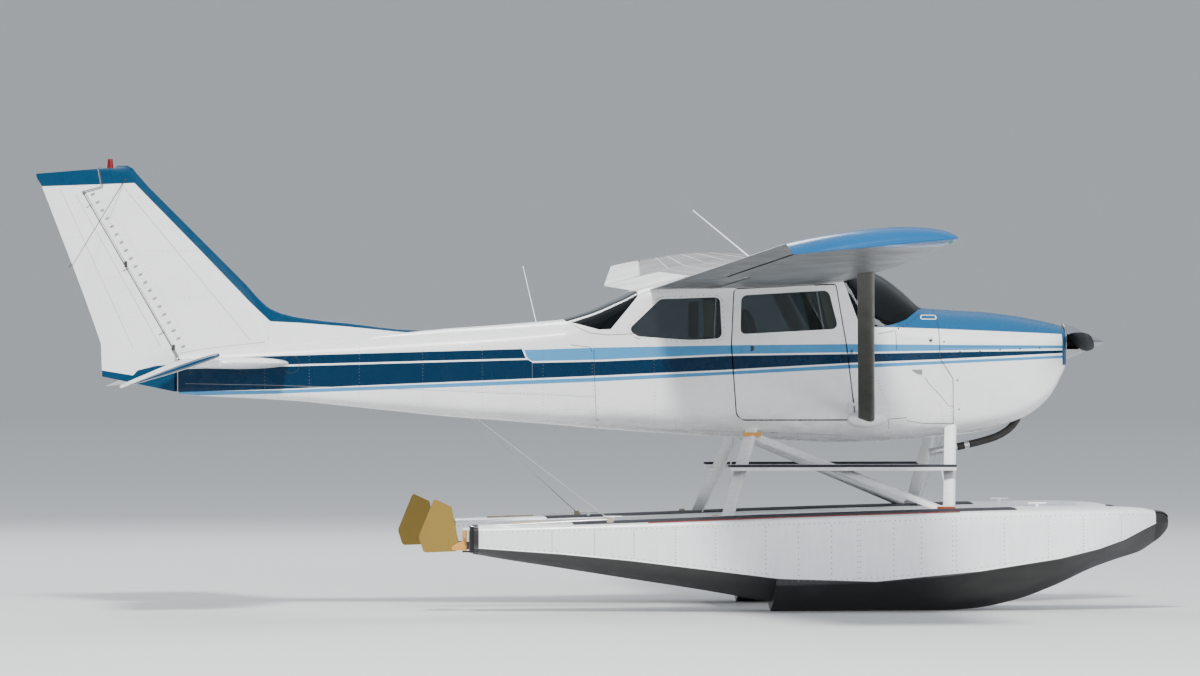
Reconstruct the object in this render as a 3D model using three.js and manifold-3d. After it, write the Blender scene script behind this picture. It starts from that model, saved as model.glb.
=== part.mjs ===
// High-wing, single-engine, four-seat light aircraft on twin floats.
// Millimetres. +X is forward, +Y is the pilot's left, +Z is up. The keels of the floats stand at Z = 0.

import * as THREE from 'three';
import { mergeVertices } from 'three/addons/utils/BufferGeometryUtils.js';
import Module from 'manifold-3d';

const wasm = await Module();
wasm.setup();

// Gaps and walls
const SEAT = 0.3; // between pieces that touch
const RUN = 0.7; // between a hinge's lug and the sides of its slot
const CLEAR = 8; // around a moving panel
const WALL = 30; // cabin wall and door
const COWL_WALL = 9;
const CONE_WALL = 14;
const GLASS = 7;

// Body stations
const FIREWALL_X = 1604;
const CABIN_REAR_X = -1230;
const THRUST_Z = 2018;

// Wing
const ROOT_Y = 585;
const KINK_Y = 2600;
const TIP_RIB_Y = 5200;
const SPAN_HALF = 5460;
const ROOT_CHORD = 1626;
const TIP_CHORD = 1175;
const ROOT_INCIDENCE = 4.8; // degrees, as the aircraft sits
const TIP_INCIDENCE = 1.8;

// Floats
const FLOAT_Y = 960; // centre line of each float
const STEP_X = 250; // the keel is level ahead of it
const STERN_X = -2008;

// Tail
const TAIL_HALF = 1720;
const ELEVATOR_HINGE = [-4098, 1855]; // X and Z
const ELEVATOR_DROOP = 19; // degrees, at rest
const RUDDER_HINGE_TOP = [-4850, 3130];
const RUDDER_HINGE_FOOT = [-4151, 1899];

// Finishes: colour, roughness, metalness
const FINISH = {
  white: [0xe9ecef, 0.3, 0.0],
  blue: [0x3b86c4, 0.3, 0.0],
  bare: [0xb9bcbd, 0.42, 0.9],
  silver: [0xc9ccce, 0.35, 0.8],
  dark: [0x1b1c1e, 0.7, 0.1],
  glass: [0x9fb4bd, 0.08, 0.0],
  seat: [0x2b2e34, 0.85, 0.0],
  khaki: [0xa49a74, 0.6, 0.1],
  orange: [0xd2872b, 0.5, 0.1],
  red: [0xb3241d, 0.25, 0.0],
  engine: [0x6d6f70, 0.7, 0.6],
};

// Shape helpers

const lerp = (a, b, t) => a + (b - a) * t;
const radians = THREE.MathUtils.degToRad;

function solidOf(geometry) {
  const bare = new THREE.BufferGeometry();
  bare.setAttribute('position', geometry.getAttribute('position'));
  bare.setIndex(geometry.index);
  const merged = mergeVertices(bare, 1e-3);
  const corners = merged.index.array;
  const faces = [];
  for (let i = 0; i < corners.length; i += 3) {
    const [a, b, c] = [corners[i], corners[i + 1], corners[i + 2]];
    if (a !== b && b !== c && c !== a) faces.push(a, b, c);
  }
  const vertProperties = Float32Array.from(merged.getAttribute('position').array);
  const triVerts = Uint32Array.from(faces);
  return new wasm.Manifold(new wasm.Mesh({ numProp: 3, vertProperties, triVerts }));
}

function geometryOf(solid) {
  const { vertProperties, triVerts } = solid.getMesh();
  const geometry = new THREE.BufferGeometry();
  geometry.setAttribute('position', new THREE.BufferAttribute(Float32Array.from(vertProperties), 3));
  geometry.setIndex(Array.from(triVerts));
  return geometry;
}

// Turns faces outwards when their signed volume is negative
function facedOut(points, faces) {
  let volume = 0;
  for (let i = 0; i < faces.length; i += 3) {
    const [a, b, c] = [points[faces[i]], points[faces[i + 1]], points[faces[i + 2]]];
    volume += new THREE.Vector3(...a).dot(new THREE.Vector3(...b).cross(new THREE.Vector3(...c)));
  }
  const geometry = new THREE.BufferGeometry();
  geometry.setAttribute('position', new THREE.Float32BufferAttribute(points.flat(), 3));
  geometry.setIndex(volume < 0 ? [...faces].reverse() : faces);
  return geometry;
}

// Skin over a row of rings with equal point counts, closed by a fan at each end.
// The diagonals of a ring's second half mirror those of its first.
function loft(rings) {
  const count = rings[0].length;
  const points = rings.flat();
  const faces = [];
  for (let r = 0; r + 1 < rings.length; r += 1) {
    for (let k = 0; k < count; k += 1) {
      const a = r * count + k;
      const b = r * count + ((k + 1) % count);
      const [c, d] = [a + count, b + count];
      faces.push(...(k < count / 2 ? [a, b, d, a, d, c] : [a, b, c, b, d, c]));
    }
  }
  for (const r of [0, rings.length - 1]) {
    const centre = [0, 1, 2].map((axis) => rings[r].reduce((sum, p) => sum + p[axis], 0) / count);
    points.push(centre);
    for (let k = 0; k < count; k += 1) {
      const a = r * count + k;
      const b = r * count + ((k + 1) % count);
      faces.push(...(r === 0 ? [b, a] : [a, b]), points.length - 1);
    }
  }
  return solidOf(facedOut(points, faces));
}

function box(x, y, z) {
  const shape = new THREE.BoxGeometry(x[1] - x[0], y[1] - y[0], z[1] - z[0]);
  return solidOf(shape.translate((x[0] + x[1]) / 2, (y[0] + y[1]) / 2, (z[0] + z[1]) / 2));
}

// Outline of [X, Z] points, extruded from y[0] to y[1]
function sidePrism(outline, y) {
  const shape = new THREE.Shape(outline.map(([x, z]) => new THREE.Vector2(x, z)));
  const body = new THREE.ExtrudeGeometry(shape, { depth: y[1] - y[0], bevelEnabled: false });
  return solidOf(body.rotateX(Math.PI / 2).translate(0, y[1], 0));
}

// Outline of [X, Y] points, extruded from z[0] to z[1]
function planPrism(outline, z) {
  const shape = new THREE.Shape(outline.map(([x, y]) => new THREE.Vector2(x, y)));
  const body = new THREE.ExtrudeGeometry(shape, { depth: z[1] - z[0], bevelEnabled: false });
  return solidOf(body.translate(0, 0, z[0]));
}

// Closed tube along straight or curved points
function tube(points, radius, sides = 10, curved = true) {
  const places = points.map((p) => new THREE.Vector3(...p));
  const path = curved ? new THREE.CatmullRomCurve3(places) : new THREE.LineCurve3(places[0], places[1]);
  const circle = new THREE.EllipseCurve(0, 0, radius, radius).getPoints(sides).slice(0, sides);
  const section = new THREE.Shape(circle);
  const steps = curved ? points.length * 3 : 1;
  return solidOf(new THREE.ExtrudeGeometry(section, { steps, extrudePath: path, bevelEnabled: false }));
}

// Cone or cylinder between two points
function rod(from, to, startRadius, endRadius = startRadius, sides = 20) {
  const a = new THREE.Vector3(...from);
  const along = new THREE.Vector3(...to).sub(a);
  const body = new THREE.CylinderGeometry(endRadius, startRadius, along.length(), sides);
  const upright = new THREE.Vector3(0, 1, 0);
  body.applyQuaternion(new THREE.Quaternion().setFromUnitVectors(upright, along.clone().normalize()));
  const middle = a.addScaledVector(along, 0.5);
  return solidOf(body.translate(middle.x, middle.y, middle.z));
}

// Block square to a hinge line: size ahead of it, along it and across both, its middle a reach ahead
function lugBlock(size, place, hinge, reach) {
  const along = new THREE.Vector3(...hinge).normalize();
  const fore = new THREE.Vector3(1, 0, 0).addScaledVector(along, -along.x).normalize();
  const up = fore.clone().cross(along);
  const body = new THREE.BoxGeometry(...size).translate(reach, 0, 0);
  body.applyMatrix4(new THREE.Matrix4().makeBasis(fore, along, up));
  return solidOf(body.translate(...place));
}

// Streamlined strut: a lens section, its chord held close to X
function strut(from, to, chord, thickness) {
  const a = new THREE.Vector3(...from);
  const b = new THREE.Vector3(...to);
  const along = b.clone().sub(a).normalize();
  const fore = new THREE.Vector3(1, 0, 0).addScaledVector(along, -along.x).normalize();
  const across = along.clone().cross(fore);
  const half = [[1, 0], [0.8, 0.62], [0.4, 0.97], [0, 1], [-0.45, 0.76], [-0.8, 0.38], [-1, 0.1]];
  const section = [...half, ...half.slice(1).reverse().map(([x, y]) => [x, -y])];
  const ring = (end) => section.map(([x, y]) => {
    const place = end.clone().addScaledVector(fore, (x * chord) / 2);
    return place.addScaledVector(across, (y * thickness) / 2).toArray();
  });
  return loft([ring(a), ring(b)]);
}

function turned(solid, [x, y, z], axis, angle) {
  const body = geometryOf(solid).translate(-x, -y, -z);
  body.applyMatrix4(new THREE.Matrix4().makeRotationAxis(new THREE.Vector3(...axis).normalize(), angle));
  return solidOf(body.translate(x, y, z));
}

function mirrored(solid) {
  const body = geometryOf(solid).scale(1, -1, 1);
  body.setIndex([...body.index.array].reverse());
  return solidOf(body);
}

const aircraft = new THREE.Group();

function addPiece(name, solid, finish) {
  const [color, roughness, metalness] = FINISH[finish];
  const material = new THREE.MeshStandardMaterial({ color, roughness, metalness });
  const piece = new THREE.Mesh(geometryOf(solid), material);
  piece.name = name;
  aircraft.add(piece);
}

// Adds a piece built for the right side, Y below 0, and its mirror image
function addPair(name, rightSolid, finish) {
  addPiece(`${name}_right`, rightSolid, finish);
  addPiece(`${name}_left`, mirrored(rightSolid), finish);
}

// Fuselage skin

// Columns: x, bottom, top, half width, shoulder height, power of the curve above the shoulder
const NOSE_AND_CABIN = [
  [2634, 1815, 2128, 225, 2010, 2.2],
  [2606, 1770, 2146, 285, 1995, 2.2],
  [2512, 1603, 2171, 345, 1990, 2.2],
  [2411, 1503, 2191, 378, 1990, 2.2],
  [2302, 1435, 2211, 402, 1990, 2.3],
  [2161, 1381, 2231, 426, 1990, 2.4],
  [2006, 1336, 2248, 444, 1990, 2.5],
  [1812, 1306, 2258, 460, 2000, 2.5],
  [1604, 1288, 2272, 480, 2010, 2.5],
  [1535, 1281, 2279, 488, 2020, 2.5],
  [1388, 1269, 2409, 502, 2050, 2.0],
  [1233, 1258, 2524, 514, 2080, 1.95],
  [1050, 1252, 2598, 525, 2130, 2.2],
  [940, 1251, 2610, 529, 2290, 3.2],
  [800, 1251, 2560, 531, 2380, 8],
  [300, 1280, 2500, 531, 2365, 8],
  [-300, 1313, 2450, 522, 2320, 8],
  [-600, 1332, 2430, 500, 2270, 6],
  [-800, 1346, 2345, 472, 2190, 4],
  [-1022, 1364, 2249, 440, 2090, 3.2],
  [-1230, 1382, 2184, 412, 2010, 2.8],
];
const TAIL_CONE = [
  [-1230, 1382, 2184, 412, 2010, 2.8],
  [-1690, 1420, 2146, 350, 1960, 2.6],
  [-2070, 1448, 2119, 300, 1930, 2.5],
  [-2450, 1487, 2084, 252, 1905, 2.5],
  [-2830, 1526, 2046, 205, 1885, 2.5],
  [-3210, 1566, 2012, 162, 1865, 2.5],
  [-3600, 1590, 1975, 120, 1845, 2.5],
  [-3890, 1604, 1948, 92, 1830, 2.5],
  [-4125, 1620, 1926, 68, 1815, 2.5],
];
const BELLY_POWER = 3.4;
const BELLY_SHARE = 0.3; // of the height below the shoulder that is rounded
const QUARTER_STEPS = 5;

function bodyRing([x, bottom, top, half, shoulder, power], inset) {
  const low = bottom + (shoulder - bottom) * BELLY_SHARE;
  const width = half - inset;
  const right = [];
  for (let k = 0; k <= QUARTER_STEPS; k += 1) {
    const angle = (Math.PI / 2) * (1 - k / QUARTER_STEPS);
    const y = k === 0 ? 0 : -width * Math.cos(angle) ** (2 / power);
    right.push([x, y, shoulder + (top - inset - shoulder) * Math.sin(angle) ** (2 / power)]);
  }
  for (let k = 0; k <= QUARTER_STEPS; k += 1) {
    const angle = (Math.PI / 2) * (k / QUARTER_STEPS);
    const y = k === QUARTER_STEPS ? 0 : -width * Math.cos(angle) ** (2 / BELLY_POWER);
    right.push([x, y, low - (low - bottom - inset) * Math.sin(angle) ** (2 / BELLY_POWER)]);
  }
  const left = right.slice(1, -1).reverse().map(([px, py, pz]) => [px, -py, pz]);
  return [...right, ...left];
}

// The body grown by a negative inset or shrunk by a positive one, its ends moved with it
function bodySolid(rows, inset, frontInset = inset, rearInset = inset) {
  const rings = rows.map((row) => bodyRing(row, inset));
  const shift = (ring, by) => ring.map(([x, y, z]) => [x + by, y, z]);
  rings[0] = shift(rings[0], -frontInset);
  rings[rings.length - 1] = shift(rings[rings.length - 1], rearInset);
  return loft(rings);
}

// Aerofoils

const CHORD_STATIONS = [0, 0.012, 0.05, 0.12, 0.22, 0.34, 0.5, 0.66, 0.78, 0.89, 1];

function aerofoilHeight(x, thickness, camber, upper) {
  const tail = 0.1036; // closes the section to a point at the trailing edge
  const front = 0.2969 * Math.sqrt(x) - 0.126 * x;
  const half = 5 * thickness * (front - 0.3516 * x ** 2 + 0.2843 * x ** 3 - tail * x ** 4);
  const peak = 0.4;
  const foreLine = (camber / peak ** 2) * (2 * peak * x - x ** 2);
  const rearLine = (camber / (1 - peak) ** 2) * (1 - 2 * peak + 2 * peak * x - x ** 2);
  const middle = x < peak ? foreLine : rearLine;
  const edge = 0.0012 * x; // half thickness left at the trailing edge
  return middle + (upper ? half + edge : -half - edge);
}

function aerofoilLoop(thickness, camber) {
  const top = CHORD_STATIONS.map((x) => [x, aerofoilHeight(x, thickness, camber, true)]).reverse();
  const under = CHORD_STATIONS.slice(1).map((x) => [x, aerofoilHeight(x, thickness, camber, false)]);
  return [...top, ...under];
}

// Columns: y, leading edge x, leading edge z, chord, incidence, thickness ratio
const WING_STATIONS = [
  [ROOT_Y, 1023, 2548, ROOT_CHORD, ROOT_INCIDENCE, 0.12],
  [KINK_Y, 1023, 2609, ROOT_CHORD, ROOT_INCIDENCE, 0.12],
  [TIP_RIB_Y, 930, 2706, TIP_CHORD, TIP_INCIDENCE, 0.12],
];
const WING_CAMBER = 0.02;

function wingPoint([y, edgeX, edgeZ, chord, incidence], x, z) {
  const tilt = radians(incidence);
  const along = x * chord;
  const up = z * chord;
  const px = edgeX - along * Math.cos(tilt) + up * Math.sin(tilt);
  return [px, -y, edgeZ - along * Math.sin(tilt) + up * Math.cos(tilt)];
}

function wingSolid(stations, drop = 0) {
  const rings = stations.map((row) => aerofoilLoop(row[5], WING_CAMBER).map(([x, z]) => {
    const [px, py, pz] = wingPoint(row, x, z);
    return [px, py, pz - drop];
  }));
  return loft(rings);
}

function wingRow(y) {
  const upper = WING_STATIONS.findIndex((row) => row[0] >= y);
  const [a, b] = [WING_STATIONS[Math.max(upper - 1, 0)], WING_STATIONS[Math.max(upper, 1)]];
  const t = (y - a[0]) / (b[0] - a[0]);
  return a.map((value, column) => lerp(value, b[column], t));
}

// Place on the wing's right panel, a share of the way from the lower skin to the upper one
function inWing(y, x, share) {
  const row = wingRow(y);
  const under = aerofoilHeight(x, row[5], WING_CAMBER, false);
  const over = aerofoilHeight(x, row[5], WING_CAMBER, true);
  return wingPoint(row, x, lerp(under, over, share));
}

// Hinged panels behind the wing: a wedge behind the hinge line, a round nose about it, and lugs

// Everything behind a hinge line, from a small distance ahead of it
function bayBlock(from, to, ahead) {
  const behind = 900;
  const tall = 220;
  const corners = [[ahead, tall], [-behind, tall], [-behind, -tall], [ahead, -tall]];
  const ring = ([x, y, z]) => corners.map(([dx, dz]) => [x + dx, y, z + dz]);
  return loft([ring(from), ring(to)]);
}

const LUG_WIDTH = 8;
const LUG_DEPTH = 18;
const BAY_GAP = CLEAR + 2; // between a panel's nose and the bay about it

function hingedPanel({ inner, outer, innerX, outerX, innerNose, outerNose, share, lugs }) {
  const lugReach = 68;
  const axis = (y) => {
    const t = (y - inner) / (outer - inner);
    const a = inWing(inner, innerX, share);
    const b = inWing(outer, outerX, share);
    return a.map((value, k) => lerp(value, b[k], t));
  };
  const nose = (y) => lerp(innerNose, outerNose, (y - inner) / (outer - inner));
  const wing = wingSolid(WING_STATIONS);
  const [a, b] = [axis(inner + CLEAR), axis(outer - CLEAR)];
  let panel = wing.intersect(bayBlock(a, b, 0));
  panel = panel.add(rod(a, b, nose(inner), nose(outer), 16));
  const [c, d] = [axis(inner), axis(outer)];
  let bay = bayBlock(c, d, CLEAR);
  bay = bay.add(rod(c, d, nose(inner) + BAY_GAP, nose(outer) + BAY_GAP, 16));
  let arms = null;
  for (const y of lugs) {
    const place = axis(y);
    const hinge = d.map((value, k) => value - c[k]);
    const arm = lugBlock([lugReach + 14, LUG_WIDTH, LUG_DEPTH], place, hinge, lugReach / 2 - 2);
    const slot = lugBlock([lugReach + 40, LUG_WIDTH + 2 * RUN, 300], place, hinge, lugReach / 2 - 6);
    panel = panel.subtract(slot);
    arms = arms ? arms.add(arm) : arm;
  }
  return { panel, bay, arms };
}

// Spans in Y, hinge line as shares of the chord and of the depth, nose radii and the lugs' places in Y
const AILERON = hingedPanel({
  inner: 2620,
  outer: 5190,
  innerX: 0.83,
  outerX: 0.81,
  innerNose: 37,
  outerNose: 29,
  share: 0.5,
  lugs: [2760, 3900, 5050],
});
const FLAP = hingedPanel({
  inner: 610,
  outer: 2560,
  innerX: 0.725,
  outerX: 0.725,
  innerNose: 51,
  outerNose: 51,
  share: 0.42,
  lugs: [760, 1600, 2400],
});
const wingBody = wingSolid(WING_STATIONS).subtract(AILERON.bay).subtract(FLAP.bay);
const rightWing = wingBody.add(AILERON.arms).add(FLAP.arms);
addPair('wing', rightWing, 'bare');
addPair('aileron', AILERON.panel, 'white');
addPair('flap', FLAP.panel, 'white');

// Tip cap: the last rib's section, which bends down and thins out to a drooped outer edge
const TIP_EDGE_FRONT = [890, 2700];
const TIP_EDGE_REAR = [-222, 2593];
const TIP_SHARES = [0, 0.35, 0.62, 0.82, 0.94, 1];
const TIP_LEAST_HEIGHT = 0.07; // of the rib's own height, left at the outer edge
function tipRing(share) {
  const rib = WING_STATIONS[2];
  const y = lerp(TIP_RIB_Y + SEAT, SPAN_HALF, share);
  const height = Math.max(Math.sqrt(1 - share ** 2), TIP_LEAST_HEIGHT);
  return aerofoilLoop(rib[5], WING_CAMBER).map(([x, z]) => {
    const here = wingPoint(rib, x, z);
    const under = wingPoint(rib, x, aerofoilHeight(x, rib[5], WING_CAMBER, false))[2];
    const [edgeX, edgeZ] = TIP_EDGE_FRONT.map((value, k) => lerp(value, TIP_EDGE_REAR[k], x));
    const base = lerp(under, edgeZ, share ** 2);
    return [lerp(here[0], edgeX, share ** 4), -y, base + (here[2] - under) * height];
  });
}
addPair('wing_tip', loft(TIP_SHARES.map(tipRing)), 'blue');

// Cabin shell, with the wing's centre section as its roof

const rootShape = WING_STATIONS[0].slice(1);
const rootAcross = [[-ROOT_Y + SEAT, ...rootShape], [ROOT_Y - SEAT, ...rootShape]];
const centreSection = wingSolid(rootAcross);
const BOTH_SIDES = [-900, 900];
const RIGHT_SIDE = [-900, -300];
const LEFT_SIDE = [300, 900];
const COWL_EDGE = [[1593, 2500], [1598, 2237], [1616, 1888], [1715, 1737], [1722, 1100]];
const AHEAD_OF_COWL = [[2900, 1100], [2900, 2500]];
const cowlOutline = (setBack) => [...COWL_EDGE.map(([x, z]) => [x + setBack, z]), ...AHEAD_OF_COWL];
const cowlRegion = sidePrism(cowlOutline(0), BOTH_SIDES);
const outerBody = bodySolid(NOSE_AND_CABIN, 0);
const innerBody = bodySolid(NOSE_AND_CABIN, WALL, WALL, WALL);
const FIREWALL = [FIREWALL_X - 40, FIREWALL_X - 14];
const firewall = outerBody.intersect(box(FIREWALL, BOTH_SIDES, [1100, 2500]));
const rearHole = box([CABIN_REAR_X - 40, CABIN_REAR_X + 60], [-230, 230], [1560, 2000]);

// Windows, as side outlines
const DOOR_WINDOW = [
  [96, 2365], [84, 2330], [84, 2100], [100, 2075],
  [800, 2112], [826, 2130], [758, 2385], [740, 2398],
];
const SIDE_WINDOW = [
  [-80, 2352], [-510, 2337], [-540, 2325], [-752, 2122], [-756, 2098], [-740, 2072],
  [-680, 2055], [-300, 2030], [-70, 2042], [-57, 2060], [-66, 2338],
];
const WINDSHIELD = [
  [1000, 2124], [1140, 2131], [1232, 2143], [1310, 2166], [1360, 2187], [1406, 2220],
  [1467, 2259], [1545, 2279], [1760, 2420], [1126, 2660], [867, 2479],
];
const REAR_WINDOW = [[-1215, 2172], [-983, 2108], [-893, 2111], [-690, 2360], [-662, 2520], [-1260, 2520]];

function grown(outline, by) {
  const centre = [0, 1].map((axis) => outline.reduce((sum, p) => sum + p[axis], 0) / outline.length);
  return outline.map(([x, z]) => {
    const away = new THREE.Vector2(x - centre[0], z - centre[1]);
    away.setLength(away.length() + by);
    return [centre[0] + away.x, centre[1] + away.y];
  });
}

// Door outline: the frame's opening, and the door inside it
const DOOR_OPENING = [
  [38, 2418], [16, 2395], [12, 1990], [48, 1500], [62, 1452], [100, 1420],
  [900, 1420], [952, 1440], [962, 1480], [898, 1985], [818, 2438], [795, 2456],
];
const DOOR = grown(DOOR_OPENING, -CLEAR * 1.3);
const DOOR_HINGE_FOOT = [957, 1560];
const DOOR_HINGE_HEAD = [944, 1930];
const DOOR_HINGE_Y = 546;

const shellWall = outerBody.subtract(innerBody);
let cabin = outerBody.add(centreSection).subtract(innerBody).add(firewall).subtract(cowlRegion);
cabin = cabin.subtract(rearHole);
for (const side of [RIGHT_SIDE, LEFT_SIDE]) {
  cabin = cabin.subtract(sidePrism(SIDE_WINDOW, side)).subtract(sidePrism(DOOR_OPENING, side));
}
cabin = cabin.subtract(sidePrism(WINDSHIELD, BOTH_SIDES)).subtract(sidePrism(REAR_WINDOW, BOTH_SIDES));

// Door hinges: fixed and door barrels on one axis outside the skin. Columns: share of the axis, door edge x
const BARREL = 10;
const HINGES = [[0, 941], [1, 896]];
const BARREL_LENGTH = 30;

function hingePlace(share, along) {
  const [a, b] = [DOOR_HINGE_FOOT, DOOR_HINGE_HEAD];
  const lean = (b[0] - a[0]) / (b[1] - a[1]);
  return [lerp(a[0], b[0], share) + lean * along, -DOOR_HINGE_Y, lerp(a[1], b[1], share) + along];
}

let doorShell = shellWall.intersect(sidePrism(DOOR, RIGHT_SIDE));
doorShell = doorShell.subtract(sidePrism(DOOR_WINDOW, RIGHT_SIDE));
let frameBarrels = null;
for (const [share, edgeX] of HINGES) {
  const [x, y, z] = hingePlace(share, 0);
  const upper = [z + 2, z + BARREL_LENGTH];
  const lower = [z - BARREL_LENGTH, z - 4];
  const frameLeaf = box([x + 2, x + 34], [y + 1, y + 22], upper);
  const doorLeaf = box([edgeX - 34, x - 2], [y - 8, y + 8], lower);
  const doorFoot = box([edgeX - 34, edgeX - 4], [y - 6, y + 24], lower);
  const fixed = rod(hingePlace(share, RUN), hingePlace(share, BARREL_LENGTH), BARREL, BARREL, 14);
  const moving = rod(hingePlace(share, -BARREL_LENGTH), hingePlace(share, 0), BARREL, BARREL, 14);
  frameBarrels = frameBarrels ? frameBarrels.add(fixed).add(frameLeaf) : fixed.add(frameLeaf);
  doorShell = doorShell.add(moving).add(doorLeaf).add(doorFoot);
}
cabin = cabin.add(frameBarrels).add(mirrored(frameBarrels));
addPiece('cabin_shell', cabin, 'white');
addPair('door', doorShell, 'white');

// Glass
const glassSkin = bodySolid(NOSE_AND_CABIN, 6).subtract(bodySolid(NOSE_AND_CABIN, 6 + GLASS));
const outerGlass = bodySolid(NOSE_AND_CABIN, 1).subtract(bodySolid(NOSE_AND_CABIN, 1 + GLASS));
addPair('door_window', glassSkin.intersect(sidePrism(grown(DOOR_WINDOW, -SEAT * 2), RIGHT_SIDE)), 'glass');
addPair('side_window', glassSkin.intersect(sidePrism(grown(SIDE_WINDOW, -SEAT * 2), RIGHT_SIDE)), 'glass');
const windshield = outerGlass.intersect(sidePrism(grown(WINDSHIELD, -SEAT * 3), BOTH_SIDES));
const rootAhead = wingSolid(rootAcross.map(([y, edgeX, ...shape]) => [y, edgeX + 1, ...shape]));
addPiece('windshield', windshield.subtract(rootAhead), 'glass');
const rearGlass = outerGlass.intersect(sidePrism(grown(REAR_WINDOW, -SEAT * 3), BOTH_SIDES));
addPiece('rear_window', rearGlass.subtract(wingSolid(rootAcross, 1)), 'glass');

// Cabin fittings, trimmed to the inside of the walls
const room = bodySolid(NOSE_AND_CABIN, WALL + SEAT);
const panelBoard = box([1170, 1290], [-480, 480], [1720, 2150]);
addPiece('instrument_panel', panelBoard.intersect(room), 'dark');
const SEAT_OUTLINE = [
  [300, 1200], [700, 1200], [730, 1590], [745, 1700], [700, 1735], [350, 1715],
  [190, 2240], [150, 2300], [95, 2290], [85, 2230], [225, 1640], [290, 1600],
];
addPair('front_seat', sidePrism(SEAT_OUTLINE, [-455, -45]).intersect(room), 'seat');
const BENCH_OUTLINE = [
  [-560, 1200], [-180, 1200], [-150, 1600], [-160, 1690], [-210, 1715], [-570, 1700],
  [-690, 2120], [-730, 2160], [-790, 2140], [-790, 2090], [-640, 1600],
];
addPiece('rear_bench', sidePrism(BENCH_OUTLINE, [-440, 440]).intersect(room), 'seat');

// Tail cone
const coneOuter = bodySolid(TAIL_CONE, 0, SEAT, 0);
const coneInner = bodySolid(TAIL_CONE, CONE_WALL, -20, 60);
addPiece('tailcone', coneOuter.subtract(coneInner), 'white');
const coneGrown = bodySolid(TAIL_CONE, -SEAT);

// Engine cowl in an upper and a lower half
const SPLIT_Z = 1978;
const cowlSkin = outerBody.subtract(bodySolid(NOSE_AND_CABIN, COWL_WALL));
let cowl = cowlSkin.intersect(sidePrism(cowlOutline(SEAT), BOTH_SIDES));
cowl = cowl.subtract(rod([2500, 0, THRUST_Z], [2800, 0, THRUST_Z], 80, 80, 28));
for (const side of [-1, 1]) {
  cowl = cowl.subtract(rod([2560, side * 185, THRUST_Z + 5], [2800, side * 185, THRUST_Z + 5], 46, 46, 18));
}
cowl = cowl.subtract(box([2560, 2800], [-75, 75], [1842, 1905]));
const PIPE_Y = -150;
cowl = cowl.subtract(box([2190, 2400], [PIPE_Y - 70, PIPE_Y + 70], [1200, 1600]));
addPiece('cowl_upper', cowl.intersect(box([1500, 2800], BOTH_SIDES, [SPLIT_Z + SEAT, 2500])), 'blue');
addPiece('cowl_lower', cowl.intersect(box([1500, 2800], BOTH_SIDES, [1100, SPLIT_Z])), 'white');

// Engine: block, mounting legs to the firewall and the shaft to the propeller
const ENGINE_X = [1830, 2440];
const ENGINE_Z = [1785, 2085];
let engine = box(ENGINE_X, [-285, 285], ENGINE_Z);
engine = engine.add(rod([ENGINE_X[1] - 10, 0, THRUST_Z], [2640, 0, THRUST_Z], 62, 62, 16));
for (const [y, z] of [[-200, 1830], [200, 1830], [-200, 2040], [200, 2040]]) {
  engine = engine.add(rod([FIREWALL[1] + SEAT, y, z], [ENGINE_X[0] + 10, y, z], 22, 22, 12));
}
addPiece('engine_block', engine, 'engine');
const PIPE = 28;
const PIPE_SIDE = [
  [2300, ENGINE_Z[0] - 2 * SEAT], [2300, 1640], [2290, 1480], [2230, 1375],
  [2130, 1305], [1990, 1258], [1590, 1172],
];
addPiece('exhaust_pipe', tube(PIPE_SIDE.map(([x, z]) => [x, PIPE_Y, z]), PIPE, 12), 'dark');

// Propeller and spinner
const PROP_RADIUS = 965;
const HUB_X = [2640.7, 2735];
// Columns: radius, chord, blade angle from the disc, thickness
const BLADE_STATIONS = [
  [30, 120, 62, 62],
  [150, 128, 47, 42],
  [330, 158, 34, 25],
  [560, 156, 25, 17],
  [800, 132, 19, 12],
  [930, 98, 17, 9],
  [PROP_RADIUS, 46, 16, 6],
];
const BLADE_SECTION = [
  [-0.5, 0], [-0.32, 0.62], [-0.05, 1], [0.25, 0.72], [0.5, 0.08], [0.5, -0.08], [0, -0.12], [-0.32, -0.1],
];
const hubMiddle = (HUB_X[0] + HUB_X[1]) / 2 + 12;

// Clockwise seen from the pilot's seat, so the descending blade is on the right
const bladeRings = BLADE_STATIONS.map(([radius, chord, angle, thickness]) => BLADE_SECTION.map(([c, t]) => {
  const pitch = radians(angle);
  const [along, through] = [-c * chord, t * thickness];
  const z = -along * Math.cos(pitch) + through * Math.sin(pitch);
  const x = along * Math.sin(pitch) + through * Math.cos(pitch);
  return [hubMiddle + x, -radius, THRUST_Z + z];
}));
const blade = loft(bladeRings);
const otherBlade = turned(blade, [hubMiddle, 0, THRUST_Z], [1, 0, 0], Math.PI);
const hub = rod([HUB_X[0], 0, THRUST_Z], [HUB_X[1] + 40, 0, THRUST_Z], 68, 68, 24);
const propeller = hub.add(blade).add(otherBlade);
addPiece('propeller', propeller, 'dark');

const SPINNER_BACK = 2652;
const SPINNER_TIP = 2994;
const SPINNER_RADIUS = 142;
const SPINNER_WALL = 5;
const SPINNER_NOSE_WALL = 40;
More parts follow.
